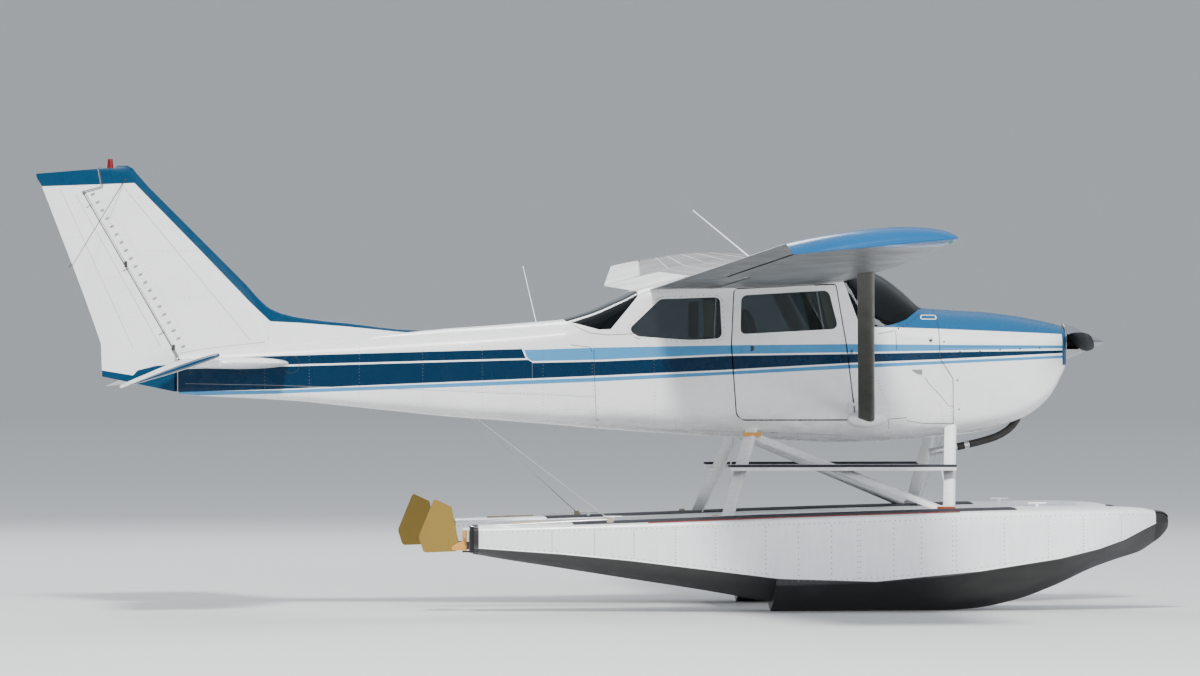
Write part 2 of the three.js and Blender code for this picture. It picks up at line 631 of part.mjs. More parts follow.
// Columns: share of the length from the back, share of the radius
const SPINNER_SHAPE = [
  [0, 1], [0.15, 0.86], [0.32, 0.705], [0.42, 0.575], [0.54, 0.43],
  [0.69, 0.28], [0.82, 0.16], [0.93, 0.065], [1, 0],
];
function spinnerSolid(radius, back, tip) {
  const profile = SPINNER_SHAPE.map(([along, share]) => [radius * share, lerp(back, tip, along)]);
  const points = [[0, back], ...profile].map(([r, x]) => new THREE.Vector2(r, x));
  const body = new THREE.LatheGeometry(points, 20);
  return solidOf(body.rotateZ(-Math.PI / 2).translate(0, 0, THRUST_Z));
}
let spinner = spinnerSolid(SPINNER_RADIUS, SPINNER_BACK, SPINNER_TIP);
const hollowBack = SPINNER_BACK + SPINNER_WALL;
const hollowTip = SPINNER_TIP - SPINNER_NOSE_WALL;
spinner = spinner.subtract(spinnerSolid(SPINNER_RADIUS - SPINNER_WALL, hollowBack, hollowTip));
spinner = spinner.subtract(rod([2600, 0, THRUST_Z], [2700, 0, THRUST_Z], 68 + SEAT, 68 + SEAT, 24));
for (const y of [[-200, -45], [45, 200]]) {
  spinner = spinner.subtract(box([hubMiddle - 76, hubMiddle + 76], y, [THRUST_Z - 58, THRUST_Z + 58]));
}
addPiece('spinner', spinner, 'silver');

// Vertical tail: one swept surface, split along the rudder's front edge

// Columns: z, leading edge x, trailing edge x, half thickness
const VERTICAL_TAIL = [
  [1640, -3330, -4700, 50],
  [2000, -3330, -4712, 50],
  [2163, -3437, -4768, 48],
  [2444, -3613, -4870, 44],
  [3190, -4358, -5158, 30],
  [3275, -4433, -5200, 27],
  [3297, -4452, -5200, 26],
  [3325, -4474, -5195, 20],
  [3346, -4515, -5188, 10],
];
const BEACON_FOOT_Z = 3326.5;
const TAIL_TOP = [
  [-5400, 3266], [-4670, BEACON_FOOT_Z], [-4612, BEACON_FOOT_Z], [-4605, 3331], [-4585, 3350],
  [-3000, 3350], [-3000, 1500], [-5400, 1500],
];
const FIN_SECTION = aerofoilLoop(1, 0);
const tailRings = VERTICAL_TAIL.map(([z, front, rear, half]) => FIN_SECTION.map(([x, y]) => (
  [lerp(front, rear, x), y * 2 * half, z]
)));
const tailSurface = loft(tailRings).intersect(sidePrism(TAIL_TOP, [-100, 100]));
const hingeRun = RUDDER_HINGE_FOOT.map((value, k) => value - RUDDER_HINGE_TOP[k]);
const rake = Math.atan2(hingeRun[0], -hingeRun[1]);
const rudderAxisAt = (z) => RUDDER_HINGE_FOOT[0] - (z - RUDDER_HINGE_FOOT[1]) * Math.tan(rake);
const HORN_Z = 3150;
const rudderEdge = [
  [-4133, 1600], [-4140, 1880], [rudderAxisAt(1960) - 2, 1960],
  [rudderAxisAt(HORN_Z), HORN_Z], [-4716, 3190], [-4756, 3400],
];
const behind = [[-5400, 3400], [-5400, 1600]];
const TAIL_SIDES = [-200, 200];
const UNDERSIDE = [
  [-4133, 1634], [-4721, 1757], [-5400, 1900], [-5400, 3400], [-4133, 3400], [-4000, 3400], [-4000, 1634],
];
// Below the fin the rudder's nose narrows to the front, to turn clear of the tail cone
const LOW_NOSE_TOP = 1935;
const lowNose = planPrism([
  [-4138, 0], [-4146, 14], [-4164, 40], [-4164, 200],
  [-5400, 200], [-5400, -200], [-4164, -200], [-4164, -40], [-4146, -14],
], [1500, LOW_NOSE_TOP]);
const noseShape = lowNose.add(box([-5400, -3900], TAIL_SIDES, [LOW_NOSE_TOP, 3500]));
let rudder = tailSurface.intersect(sidePrism([...rudderEdge, ...behind], TAIL_SIDES));
rudder = rudder.intersect(sidePrism(UNDERSIDE, TAIL_SIDES)).intersect(noseShape);
const gapEdge = rudderEdge.map(([x, z]) => [x + BAY_GAP, z]);
gapEdge[4] = [gapEdge[4][0], gapEdge[4][1] - CLEAR];
gapEdge[3] = [gapEdge[3][0], gapEdge[3][1] - CLEAR];
let fin = tailSurface.subtract(sidePrism([...gapEdge, ...behind], TAIL_SIDES));
const axisPoint = (z) => [rudderAxisAt(z), 0, z];
const rudderHinge = [-Math.sin(rake), 0, Math.cos(rake)];
const RUDDER_NOSE = [36, 22];
rudder = rudder.add(rod(axisPoint(1965), axisPoint(3120), ...RUDDER_NOSE, 20).intersect(tailSurface));
fin = fin.subtract(rod(axisPoint(1870), axisPoint(3150), ...RUDDER_NOSE.map((r) => r + BAY_GAP), 20));
for (const z of [2080, 2560, 3040]) {
  const place = axisPoint(z);
  rudder = rudder.subtract(lugBlock([110, LUG_WIDTH + 2 * RUN, 200], place, rudderHinge, 28));
  fin = fin.add(lugBlock([74, LUG_WIDTH, LUG_DEPTH], place, rudderHinge, 27));
}
const DORSAL = [
  [-2450, 2060], [-2602, 2120], [-2830, 2139], [-3058, 2172], [-3209, 2193], [-3361, 2231],
  [-3436, 2284], [-3512, 2345], [-3640, 2440], [-3700, 2000], [-3300, 1960],
];
fin = fin.add(sidePrism(DORSAL, [-17, 17])).subtract(coneGrown);
fin = fin.subtract(box([-5400, -3000], TAIL_SIDES, [1500, 1900]));
addPiece('fin', fin, 'white');
addPiece('rudder', rudder, 'white');
const BEACON_X = -4643;
const BEACON_Z = [BEACON_FOOT_Z + SEAT, 3395];
addPiece('beacon', rod([BEACON_X, 0, BEACON_Z[0]], [BEACON_X, 0, BEACON_Z[1]], 24, 19, 16), 'red');

// Horizontal tail: one surface a side, split at the elevator's hinge, the elevator drooped

// Columns: y, leading edge x, trailing edge x, thickness
const SIDE_TAIL = [
  [20, -3262, -4600, 92],
  [1500, -3755, -4655, 56],
  [1640, -3820, -4652, 50],
  [TAIL_HALF, -3925, -4600, 16],
];
const [HINGE_X, HINGE_Z] = ELEVATOR_HINGE;
const STAB_SECTION = aerofoilLoop(1, 0);
const sideRings = SIDE_TAIL.map(([y, front, rear, thickness]) => STAB_SECTION.map(([x, z]) => (
  [lerp(front, rear, x), -y, HINGE_Z + z * thickness]
)));
const sideSurface = loft(sideRings);
const HORN_Y = -1520;
const HORN_X = -3898;
const ELEVATOR_ROOT_Y = -120;
const elevatorPlan = [
  [HINGE_X, ELEVATOR_ROOT_Y], [HINGE_X, HORN_Y], [HORN_X, HORN_Y],
  [HORN_X, -1800], [-4900, -1800], [-4900, -270], [-4560, -230],
];
const stabCutPlan = [
  [HINGE_X - 1, 0], [HINGE_X - 1, HORN_Y + CLEAR], [HORN_X + CLEAR, HORN_Y + CLEAR],
  [HORN_X + CLEAR, -1800], [-4900, -1800], [-4900, 0],
];
const ELEVATOR_NOSE = [34, 27];
let elevator = sideSurface.intersect(planPrism(elevatorPlan, [1600, 2100]));
const elevatorAxis = (y) => [HINGE_X, y, HINGE_Z];
const elevatorBay = ELEVATOR_NOSE.map((radius) => radius + BAY_GAP);
elevator = elevator.add(rod(elevatorAxis(ELEVATOR_ROOT_Y), elevatorAxis(HORN_Y), ...ELEVATOR_NOSE, 20));
let stabilizer = sideSurface.subtract(planPrism(stabCutPlan, [1600, 2100]));
stabilizer = stabilizer.subtract(rod(elevatorAxis(0), elevatorAxis(HORN_Y + CLEAR), ...elevatorBay, 20));
for (const y of [-260, -900, -1440]) {
  elevator = elevator.subtract(lugBlock([116, LUG_WIDTH + 2 * RUN, 200], elevatorAxis(y), [0, 1, 0], 30));
  stabilizer = stabilizer.add(lugBlock([78, LUG_WIDTH, LUG_DEPTH], elevatorAxis(y), [0, 1, 0], 29));
}
addPair('stabilizer', stabilizer.subtract(coneGrown), 'white');
const droopedElevator = turned(elevator, [HINGE_X, 0, HINGE_Z], [0, 1, 0], -radians(ELEVATOR_DROOP));
addPair('elevator', droopedElevator, 'white');

// Floats

// Columns: x, keel z, chine z, chine half width, deck edge z, deck half width
const FORE_HULL = [
  [3160, 505, 645, 118, 728, 108],
  [3060, 440, 603, 170, 746, 156],
  [2900, 388, 526, 222, 756, 205],
  [2700, 318, 460, 268, 761, 245],
  [2400, 182, 390, 308, 759, 278],
  [2100, 75, 345, 325, 753, 293],
  [1780, 14, 297, 330, 746, 300],
  [1500, 0, 262, 330, 739, 300],
  [1000, 0, 222, 330, 725, 300],
  [STEP_X, 0, 190, 330, 703, 298],
];
const AFT_HULL = [
  [STEP_X + 20, 66, 246, 326, 703, 297],
  [-300, 166, 318, 318, 681, 288],
  [-850, 252, 385, 285, 662, 258],
  [-1370, 335, 435, 226, 646, 205],
  [-1760, 396, 462, 160, 636, 145],
  [STERN_X + 24, 436, 477, 108, 631, 100],
];
const DECK_CROWN = 20;
const DECK_ROUND = 26;

function hullRing([x, keel, chine, chineHalf, deck, deckHalf], grow) {
  const right = [
    [0, keel - grow],
    [chineHalf * 0.55, lerp(keel, chine, 0.48) - grow],
    [chineHalf + grow, chine - grow],
    [chineHalf - 8 + grow, chine + 12],
    [deckHalf + grow, deck - DECK_ROUND],
    [deckHalf - DECK_ROUND * 0.3 + grow, deck - DECK_ROUND * 0.3 + grow],
    [deckHalf - DECK_ROUND + grow, deck + grow],
    [deckHalf * 0.5, deck + DECK_CROWN * 0.75 + grow],
    [0, deck + DECK_CROWN + grow],
  ];
  const left = right.slice(1, -1).reverse().map(([y, z]) => [-y, z]);
  return [...right, ...left].map(([y, z]) => [x, -FLOAT_Y - y, z]);
}

function hullSolid(rows, grow) {
  return loft(rows.map((row) => hullRing(row, grow)));
}

const sternPost = box([STERN_X, STERN_X + 60], [-FLOAT_Y - 30, -FLOAT_Y + 30], [445, 640]);
const POST_X = -2046;
const LUG = 17;
let hull = hullSolid(FORE_HULL, 0).add(hullSolid(AFT_HULL, 0)).add(sternPost);
for (const z of [[612, 630], [447, 459]]) {
  hull = hull.add(box([POST_X, STERN_X + 10], [-FLOAT_Y - LUG, -FLOAT_Y + LUG], z));
  hull = hull.add(rod([POST_X, -FLOAT_Y, z[0]], [POST_X, -FLOAT_Y, z[1]], LUG, LUG, 16));
}
// Cleats on the deck's inner side
for (const [x, z] of [[-922, 670], [2300, 765]]) {
  const y = -FLOAT_Y + 140;
  hull = hull.add(box([x - 12, x + 12], [y - 8, y + 8], [z - 15, z + 34]));
  hull = hull.add(box([x - 70, x + 70], [y - 9, y + 9], [z + 26, z + 42]));
}
addPair('float', hull, 'silver');
const hullGrown = hullSolid(FORE_HULL, SEAT).add(hullSolid(AFT_HULL, SEAT));

const BUMPER = [
  [3160 + SEAT, 505, 645, 118, 728, 108],
  [3205, 536, 650, 98, 725, 90],
  [3248, 580, 655, 62, 712, 56],
  [3273, 618, 657, 22, 690, 20],
];
addPair('bow_bumper', hullSolid(BUMPER, 0), 'dark');

// Water rudders: a yoke that steers on the stern post, and a blade that lifts in the yoke
const YOKE_Z = [459 + RUN, 612 - RUN];
const BLADE_PIVOT = [-2120, 476];
const PIN = 6;
const CHEEK = 6;
const CHEEK_OUTLINE = [[POST_X, 462], [POST_X, 530], [-2095, 520], [-2142, 490], [-2142, 462]];
const BLADE_HALF = 7;
let yoke = rod([POST_X, -FLOAT_Y, YOKE_Z[0]], [POST_X, -FLOAT_Y, YOKE_Z[1]], 16, 16, 16);
yoke = yoke.add(box([POST_X - 10, POST_X + 6], [-FLOAT_Y - 60, -FLOAT_Y + 60], [555, 575]));
for (const side of [-1, 1]) {
  const y = [BLADE_HALF + RUN, BLADE_HALF + RUN + CHEEK].map((value) => -FLOAT_Y + side * value);
  yoke = yoke.add(sidePrism(CHEEK_OUTLINE, [Math.min(...y), Math.max(...y)]));
}
const pivotPin = (half, radius) => {
  const [x, z] = BLADE_PIVOT;
  return rod([x, -FLOAT_Y - half, z], [x, -FLOAT_Y + half, z], radius, radius, 12);
};
yoke = yoke.add(pivotPin(18, PIN));
addPair('water_rudder_yoke', yoke, 'orange');
const BLADE_OUTLINE = [
  [-2094, 545], [-2100, 470], [-2116, 455], [-2352, 446], [-2389, 565], [-2273, 847], [-2143, 787],
];
const waterBlade = sidePrism(BLADE_OUTLINE, [-FLOAT_Y - BLADE_HALF, -FLOAT_Y + BLADE_HALF]);
addPair('water_rudder', waterBlade.subtract(pivotPin(40, PIN + RUN)), 'khaki');

// Struts, spreaders, steps and wires
const bodyGrown = bodySolid(NOSE_AND_CABIN, -SEAT, 0, 0);
const wingDropped = wingSolid(WING_STATIONS, SEAT);
const STRUT_FOOT = [1050, -500, 1405];
const STRUT_HEAD = [722, -2570, 2585];
let wingStrut = strut(STRUT_FOOT, STRUT_HEAD, 125, 46);
wingStrut = wingStrut.subtract(bodyGrown).subtract(wingDropped);
addPair('wing_strut', wingStrut, 'silver');

const FRONT_FOOT = [1609, -930, 700];
const FRONT_HEAD = [1712, -400, 1420];
const REAR_FOOT = [-83, -930, 650];
const REAR_HEAD = [205, -400, 1420];
const DIAGONAL_FOOT = [1654, -954, 715];
const DIAGONAL_HEAD = [170, -424, 1314];
const STRUT_CHORD = 92;
const STRUT_THICKNESS = 38;
const frontStrut = strut(FRONT_FOOT, FRONT_HEAD, STRUT_CHORD, STRUT_THICKNESS);
const rearStrut = strut(REAR_FOOT, REAR_HEAD, STRUT_CHORD, STRUT_THICKNESS);
const grownStruts = [[FRONT_FOOT, FRONT_HEAD], [REAR_FOOT, REAR_HEAD]].map(([a, b]) => (
  strut(a, b, STRUT_CHORD + 3 * SEAT, STRUT_THICKNESS + 2 * SEAT)
));
const seated = (solid) => solid.subtract(bodyGrown).subtract(hullGrown);
const cleared = (solid) => grownStruts.reduce((rest, other) => rest.subtract(other), seated(solid));
const grownDiagonal = strut(DIAGONAL_FOOT, DIAGONAL_HEAD, 62 + 3 * SEAT, 30 + 2 * SEAT);
addPair('float_strut_front', seated(frontStrut), 'silver');
addPair('float_strut_rear', seated(rearStrut), 'silver');
addPair('float_diagonal', cleared(strut(DIAGONAL_FOOT, DIAGONAL_HEAD, 62, 30)), 'silver');

const PLANK_Z = [1046, 1088];
addPair('step_plank', cleared(box([-25, 1690], [-800, -645], PLANK_Z)).subtract(grownDiagonal), 'bare');

const bothHulls = hullGrown.add(mirrored(hullGrown));
for (const [name, x, z] of [['front', 1560, 676], ['rear', -160, 628]]) {
  const bar = rod([x, -760, z], [x, 760, z], 28, 28, 16);
  addPiece(`spreader_${name}`, bar.subtract(bothHulls), 'silver');
}
const WIRES = {
  front: [[1640, 800, 700], [1700, -330, 1400]],
  rear: [[-60, 800, 650], [150, -330, 1400]],
};
for (const [name, [foot, head]] of Object.entries(WIRES)) {
  const wire = tube([foot, head], 5, 8, false);
  const cross = wire.add(mirrored(wire));
  addPiece(`brace_wires_${name}`, cross.subtract(bodyGrown).subtract(bothHulls), 'silver');
}

// Whip antenna on the roof
const MAST = [[340, 0, 2571], [-212, 0, 3021]];
const antenna = rod(MAST[0], MAST[1], 7, 4, 10).subtract(wingSolid(rootAcross, -SEAT));
addPiece('whip_antenna', antenna, 'white');

// The origin is the middle of the whole box's foot
const extent = new THREE.Box3().setFromObject(aircraft);
aircraft.position.x = -(extent.min.x + extent.max.x) / 2;

export default aircraft;
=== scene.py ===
import math

import bpy
import numpy as np
from mathutils import Matrix, Vector


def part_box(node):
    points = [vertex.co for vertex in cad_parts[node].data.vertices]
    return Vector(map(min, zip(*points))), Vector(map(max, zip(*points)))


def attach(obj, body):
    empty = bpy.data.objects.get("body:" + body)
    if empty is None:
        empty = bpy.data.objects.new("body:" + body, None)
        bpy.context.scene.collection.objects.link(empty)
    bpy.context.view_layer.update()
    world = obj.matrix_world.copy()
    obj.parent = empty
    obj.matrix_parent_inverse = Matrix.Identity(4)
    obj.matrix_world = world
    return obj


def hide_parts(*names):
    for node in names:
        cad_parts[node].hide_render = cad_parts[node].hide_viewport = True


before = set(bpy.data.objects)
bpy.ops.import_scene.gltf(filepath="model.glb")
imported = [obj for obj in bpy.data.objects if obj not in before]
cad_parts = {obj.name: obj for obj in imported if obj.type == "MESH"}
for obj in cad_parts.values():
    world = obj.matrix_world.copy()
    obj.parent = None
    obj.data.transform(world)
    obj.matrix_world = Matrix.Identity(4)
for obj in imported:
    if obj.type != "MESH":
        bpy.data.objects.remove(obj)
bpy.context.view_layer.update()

# Tables below are in millimetres, with x from the aircraft's own datum
MM = 0.001
SPINNER_TIP = 2994.0
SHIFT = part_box("spinner")[1].x / MM - SPINNER_TIP  # from the datum to the row frame

THRUST_Z = 2018.0
WALL = 30.0
CLEAR = 8.0
BAY_GAP = CLEAR + 2.0
SEAT_GAP = 0.3
FLOAT_Y = 960.0
BEYOND = 900.0  # further out than any half width of the body
MIDDLE_PART = 300.0  # half width of the strip that a cut through one side leaves alone
BELOW, ABOVE = 1100.0, 2500.0  # heights clear of the cowl and the body's front part


# Mesh helpers

def to_row(points):
    """Millimetres from the datum to metres in the row frame."""
    moved = np.array(points, float).reshape(-1, 3)
    moved[:, 0] += SHIFT
    return moved * MM


def round_turn(count):
    """Cosine and sine at even steps round a circle."""
    return [(math.cos(2 * math.pi * k / count), math.sin(2 * math.pi * k / count)) for k in range(count)]


def ring_faces(rows, count):
    """Faces of a closed skin over rings of points, with a flat face at each end."""
    faces = []
    for row in range(rows - 1):
        for k in range(count):
            a, b = row * count + k, row * count + (k + 1) % count
            faces.append((a, b, b + count, a + count))
    last = (rows - 1) * count
    return faces + [tuple(reversed(range(count))), tuple(range(last, last + count))]


def outward(points, faces):
    """The faces of a closed skin, all turned round if they look inwards."""
    total = 0.0
    for face in faces:
        first = points[face[0]]
        for second, third in zip(face[1:-1], face[2:]):
            total += np.dot(first, np.cross(points[second], points[third]))
    return faces if total >= 0 else [tuple(reversed(face)) for face in faces]


def added(name, data):
    """A new object in the scene."""
    made = bpy.data.objects.new(name, data)
    bpy.context.scene.collection.objects.link(made)
    return made


def solid(points, faces):
    """A working object from points in millimetres."""
    points = to_row(points)
    mesh = bpy.data.meshes.new("work")
    mesh.from_pydata([tuple(p) for p in points], [], outward(points, faces))
    return added("work", mesh)


def loft(rings):
    """A working object with a skin over rings of equal point counts."""
    rings = np.array(rings, float)
    return solid(rings.reshape(-1, 3), ring_faces(*rings.shape[:2]))


def prism(outline, low, high, across):
    """An outline extruded along y (outline in x and z) or along z (outline in x and y)."""
    if across == "y":
        return loft([[(x, level, z) for x, z in outline] for level in (low, high)])
    return loft([[(x, y, level) for x, y in outline] for level in (low, high)])


def box(x, y, z):
    return prism([(x[0], z[0]), (x[1], z[0]), (x[1], z[1]), (x[0], z[1])], y[0], y[1], "y")


def through(outline, side=0):
    """An outline in x and z taken through the whole body, or only its right (-1) or left (1) side."""
    spans = {0: (-BEYOND, BEYOND), -1: (-BEYOND, -MIDDLE_PART), 1: (MIDDLE_PART, BEYOND)}
    return prism(outline, *spans[side], "y")


def frame_of(along):
    """Two directions square to a line, the first as near to forward as it can be, and the line's own."""
    along = Vector(along).normalized()
    guide = Vector((1, 0, 0)) if abs(along.x) < 0.9 else Vector((0, 0, 1))
    fore = (guide - along * guide.dot(along)).normalized()
    return fore, along.cross(fore), along


def rod_rings(start, end, radius, end_radius, sides):
    fore, side, _ = frame_of(Vector(end) - Vector(start))
    ends = (start, radius), (end, radius if end_radius is None else end_radius)
    return [[Vector(place) + (fore * c + side * s) * r for c, s in round_turn(sides)] for place, r in ends]


def rod(start, end, radius, end_radius=None, sides=24):
    return loft(rod_rings(start, end, radius, end_radius, sides))


def lug_block(size, place, along, reach):
    """A block square to a hinge line, its middle moved ahead of the line by a reach."""
    fore, up, hinge = frame_of(along)
    middle = Vector(place) + fore * reach
    corners = [(-0.5, -0.5), (0.5, -0.5), (0.5, 0.5), (-0.5, 0.5)]
    return loft([
        [middle + fore * (a * size[0]) + up * (b * size[2]) + hinge * (end * size[1]) for a, b in corners]
        for end in (-0.5, 0.5)
    ])


def baked(piece):
    """Applies what modifiers the piece has."""
    graph = bpy.context.evaluated_depsgraph_get()
    mesh = bpy.data.meshes.new_from_object(piece.evaluated_get(graph))
    old = piece.data
    piece.modifiers.clear()
    piece.data = mesh
    bpy.data.meshes.remove(old)
    return piece


def drop(*objects):
    for o in objects:
        mesh = o.data
        bpy.data.objects.remove(o)
        bpy.data.meshes.remove(mesh)


def combine(piece, tool, operation, keep=False):
    modifier = piece.modifiers.new("combine", "BOOLEAN")
    modifier.operation = operation
    modifier.solver = "MANIFOLD"
    modifier.object = tool
    baked(piece)
    if not keep:
        drop(tool)
    return piece


def cut(piece, *tools, keep=False):
    for tool in tools:
        combine(piece, tool, "DIFFERENCE", keep)
    return piece


def join(piece, *tools):
    for tool in tools:
        combine(piece, tool, "UNION")
    return piece


def common(piece, tool, keep=False):
    return combine(piece, tool, "INTERSECT", keep)


def copy_of(piece):
    return added("work", piece.data.copy())


def mirrored(piece):
    made = copy_of(piece)
    made.data.transform(Matrix.Scale(-1, 4, (0, 1, 0)))
    made.data.flip_normals()
    return made


def turn_about(piece, place, degrees, axis):
    """Turns a piece about an axis through a place in millimetres."""
    pivot = Vector(to_row([place])[0])
    turn = Matrix.Rotation(math.radians(degrees), 4, axis)
    piece.data.transform(Matrix.Translation(pivot) @ turn @ Matrix.Translation(-pivot))


def finish_piece(piece, name, slot, material, nodes=(), body="airframe", sharp=32):
    """Names a working object, shades it and sets what it rides on and what nodes it stands for; its slot is
    not used.
    """
    piece.name = piece.data.name = name
    piece.data.materials.clear()
    piece.data.materials.append(material)
    piece.data.polygons.foreach_set("use_smooth", [True] * len(piece.data.polygons))
    piece.data.set_sharp_from_angle(angle=math.radians(sharp))
    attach(piece, body)
    if nodes:
        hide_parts(*nodes)


def finish_pair(right, name, slot, material, nodes=(), body="airframe", sharp=32):
    """The right piece and its mirror image; the body's name can have {side} in it."""
    for piece, side in ((right, "right"), (mirrored(right), "left")):
        stands_for = [f"{node}_{side}" for node in nodes]
        finish_piece(piece, f"{name}_{side}", slot, material, stands_for, body.format(side=side), sharp)


# Outlines

def rounded(outline, radius, steps=6):
    """An outline with each corner turned into an arc; radius is one number or one for each corner."""
    made = []
    count = len(outline)
    radii = radius if hasattr(radius, "__len__") else [radius] * count
    for k, corner in enumerate(outline):
        here, before, after = (Vector(outline[i % count]) for i in (k, k - 1, k + 1))
        back, ahead = (before - here), (after - here)
        half = back.angle(ahead) / 2
        reach = min(radii[k] / math.tan(half), 0.48 * back.length, 0.48 * ahead.length)
        if reach < 1e-6 or abs(half - math.pi / 2) < 1e-3:
            made.append(tuple(corner))
            continue
        start = here + back.normalized() * reach
        end = here + ahead.normalized() * reach
        for step in range(steps + 1):
            t = step / steps
            weight = math.cos(math.pi / 2 - half)
            a, b, c = (1 - t) ** 2, 2 * t * (1 - t) * weight, t ** 2
            made.append(tuple((start * a + here * b + end * c) / (a + b + c)))
    return made


def grown(outline, by):
    """An outline moved outwards by a distance, or inwards by a negative one."""
    points = [Vector(p) for p in outline]
    area = sum(a.x * b.y - b.x * a.y for a, b in zip(points, points[1:] + points[:1]))
    turn = 1 if area > 0 else -1
    made = []
    for k, here in enumerate(points):
        back = (here - points[k - 1]).normalized()
        ahead = (points[(k + 1) % len(points)] - here).normalized()
        normal = Vector((back.y + ahead.y, -back.x - ahead.x)) * turn
        if normal.length < 1e-9:
            made.append(tuple(here))
            continue
        normal.normalize()
        reach = by / max(0.5, normal.dot(Vector((ahead.y, -ahead.x)) * turn))
        made.append(tuple(here + normal * reach))
    return made


def closed(outline):
    return [*outline, outline[0]]


def smooth_through(xs, ys, at):
    """Monotone cubic through points whose xs rise."""
    xs, ys, at = np.array(xs, float), np.array(ys, float), np.array(at, float)
    run, rise = np.diff(xs), np.diff(ys) / np.diff(xs)
    slope = np.concatenate([[rise[0]], (rise[:-1] + rise[1:]) / 2, [rise[-1]]])
    for k in range(1, len(xs) - 1):
        if rise[k - 1] * rise[k] <= 0:
            slope[k] = 0.0
        else:
            weights = (2 * run[k] + run[k - 1], run[k] + 2 * run[k - 1])
            slope[k] = sum(weights) / (weights[0] / rise[k - 1] + weights[1] / rise[k])
    k = np.clip(np.searchsorted(xs, at) - 1, 0, len(run) - 1)
    t = (at - xs[k]) / run[k]
    return (
        (1 + 2 * t) * (1 - t) ** 2 * ys[k]
        + t * (1 - t) ** 2 * run[k] * slope[k]
        + t * t * (3 - 2 * t) * ys[k + 1]
        + t * t * (t - 1) * run[k] * slope[k + 1]
    )


def smooth_rows(rows, step):
    """A table's rows at closer stations, for tables whose first column is the station."""
    rows = np.array(sorted(rows), float)
    count = max(2, int(round((rows[-1, 0] - rows[0, 0]) / step)) + 1)
    stations = np.unique(np.concatenate([np.linspace(rows[0, 0], rows[-1, 0], count), rows[:, 0]]))
    columns = [smooth_through(rows[:, 0], rows[:, c], stations) for c in range(1, rows.shape[1])]
    return np.column_stack([stations] + columns)


def row_at(table, at):
    """A table's row at a station, from the rows on both sides of it; the stations rise down the table."""
    table = np.asarray(table, float)
    return [at] + [float(np.interp(at, table[:, 0], table[:, c])) for c in range(1, table.shape[1])]


# Materials

EVEN = (1, 1, 1)
FINE = (5.0, 0.7)  # a noise's detail and roughness


class Shader:
    """A material's nodes, made by short calls."""

    def __init__(self, name):
        self.material = bpy.data.materials.new(name)
        self.material.use_nodes = True
        self.nodes = self.material.node_tree.nodes
        self.links = self.material.node_tree.links
        self.surface = self.nodes["Principled BSDF"]

    def put(self, socket, value):
        if isinstance(value, bpy.types.NodeSocket):
            self.links.new(value, socket)
        elif value is not None:
            socket.default_value = value

    def node(self, kind, *values, **named):
        """A node with values or wires put into its first inputs and into named ones."""
        made = self.nodes.new("ShaderNode" + kind)
        for socket, value in zip(made.inputs, values):
            self.put(socket, value)
        for key, value in named.items():
            self.put(made.inputs[key], value)
        return made

    def math(self, operation, a, b=None):
        made = self.node("Math", a, b)
        made.operation = operation
        return made.outputs[0]

    def mix(self, share, a, b):
        made = self.nodes.new("ShaderNodeMix")
        made.data_type = "RGBA"
        self.put(made.inputs[0], share)
        for socket, color in ((made.inputs[6], a), (made.inputs[7], b)):
            self.put(socket, color if isinstance(color, bpy.types.NodeSocket) else (*color, 1.0))
        return made.outputs[2]

    def place(self, scale=EVEN):
        where = self.nodes.new("ShaderNodeTexCoord").outputs["Object"]
        if scale == EVEN:
            return where
        return self.node("Mapping", Vector=where, Scale=scale).outputs[0]

    def axes(self):
        """Sockets of the place's x, y and z."""
        return self.node("SeparateXYZ", self.place()).outputs

    def noise(self, scale, stretch=EVEN, detail=4.0, roughness=0.55):
        where = self.place(stretch)
        made = self.node("TexNoise", Vector=where, Scale=scale, Detail=detail, Roughness=roughness)
        return made.outputs[0]

    def ramp(self, value, low, high, start=0.0, end=1.0):
        return self.node("MapRange", value, low, high, start, end).outputs[0]

    def step_at(self, value, edge, blur=0.001):
        """0 below the edge and 1 above it, with a soft edge narrower than a pixel."""
        return self.ramp(self.math("SUBTRACT", value, edge), -blur, blur)

    def both(self, a, b):
        return self.math("MULTIPLY", a, b)

    def either(self, a, b):
        return self.math("MAXIMUM", a, b)

    def without(self, a):
        return self.math("SUBTRACT", 1.0, a)

    def bump(self, height, strength, distance):
        made = self.node("Bump", Height=height, Strength=strength, Distance=distance)
        self.links.new(made.outputs[0], self.surface.inputs["Normal"])

    def set(self, **values):
        for key, value in values.items():
            self.put(self.surface.inputs[key.replace("_", " ")], value)


def vary(color, by):
    """The same colour, lighter or darker by a share."""
    return tuple(min(1.0, c * by) for c in color)


def clouded(shader, color, low, high):
    """A colour with slow changes of shade."""
    broad = shader.noise(1.7, (1, 1, 1.6), 3.0)
    return shader.mix(shader.ramp(broad, 0.35, 0.65), vary(color, low), vary(color, high))


def painted(name, color, roughness=0.28, wear=0.12, coat=0.1, specular=0.4):
    """Gloss paint on sheet metal: slow shade changes, faint specks of dirt and a slightly wavy skin."""
    shader = Shader(name)
    specks = shader.ramp(shader.noise(55.0, EVEN, *FINE), 0.62, 0.74, 0.0, wear)
    rough = shader.ramp(shader.noise(9.0), 0.3, 0.7, roughness * 0.85, roughness * 1.25)
    shader.set(Base_Color=shader.mix(specks, clouded(shader, color, 0.955, 1.02), (0.35, 0.33, 0.29)))
    shader.set(Roughness=rough, Specular_IOR_Level=specular, Coat_Weight=coat, Coat_Roughness=0.08)
    shader.bump(shader.noise(5.0, EVEN, 2.0), 0.35, 0.0012)
    return shader.material


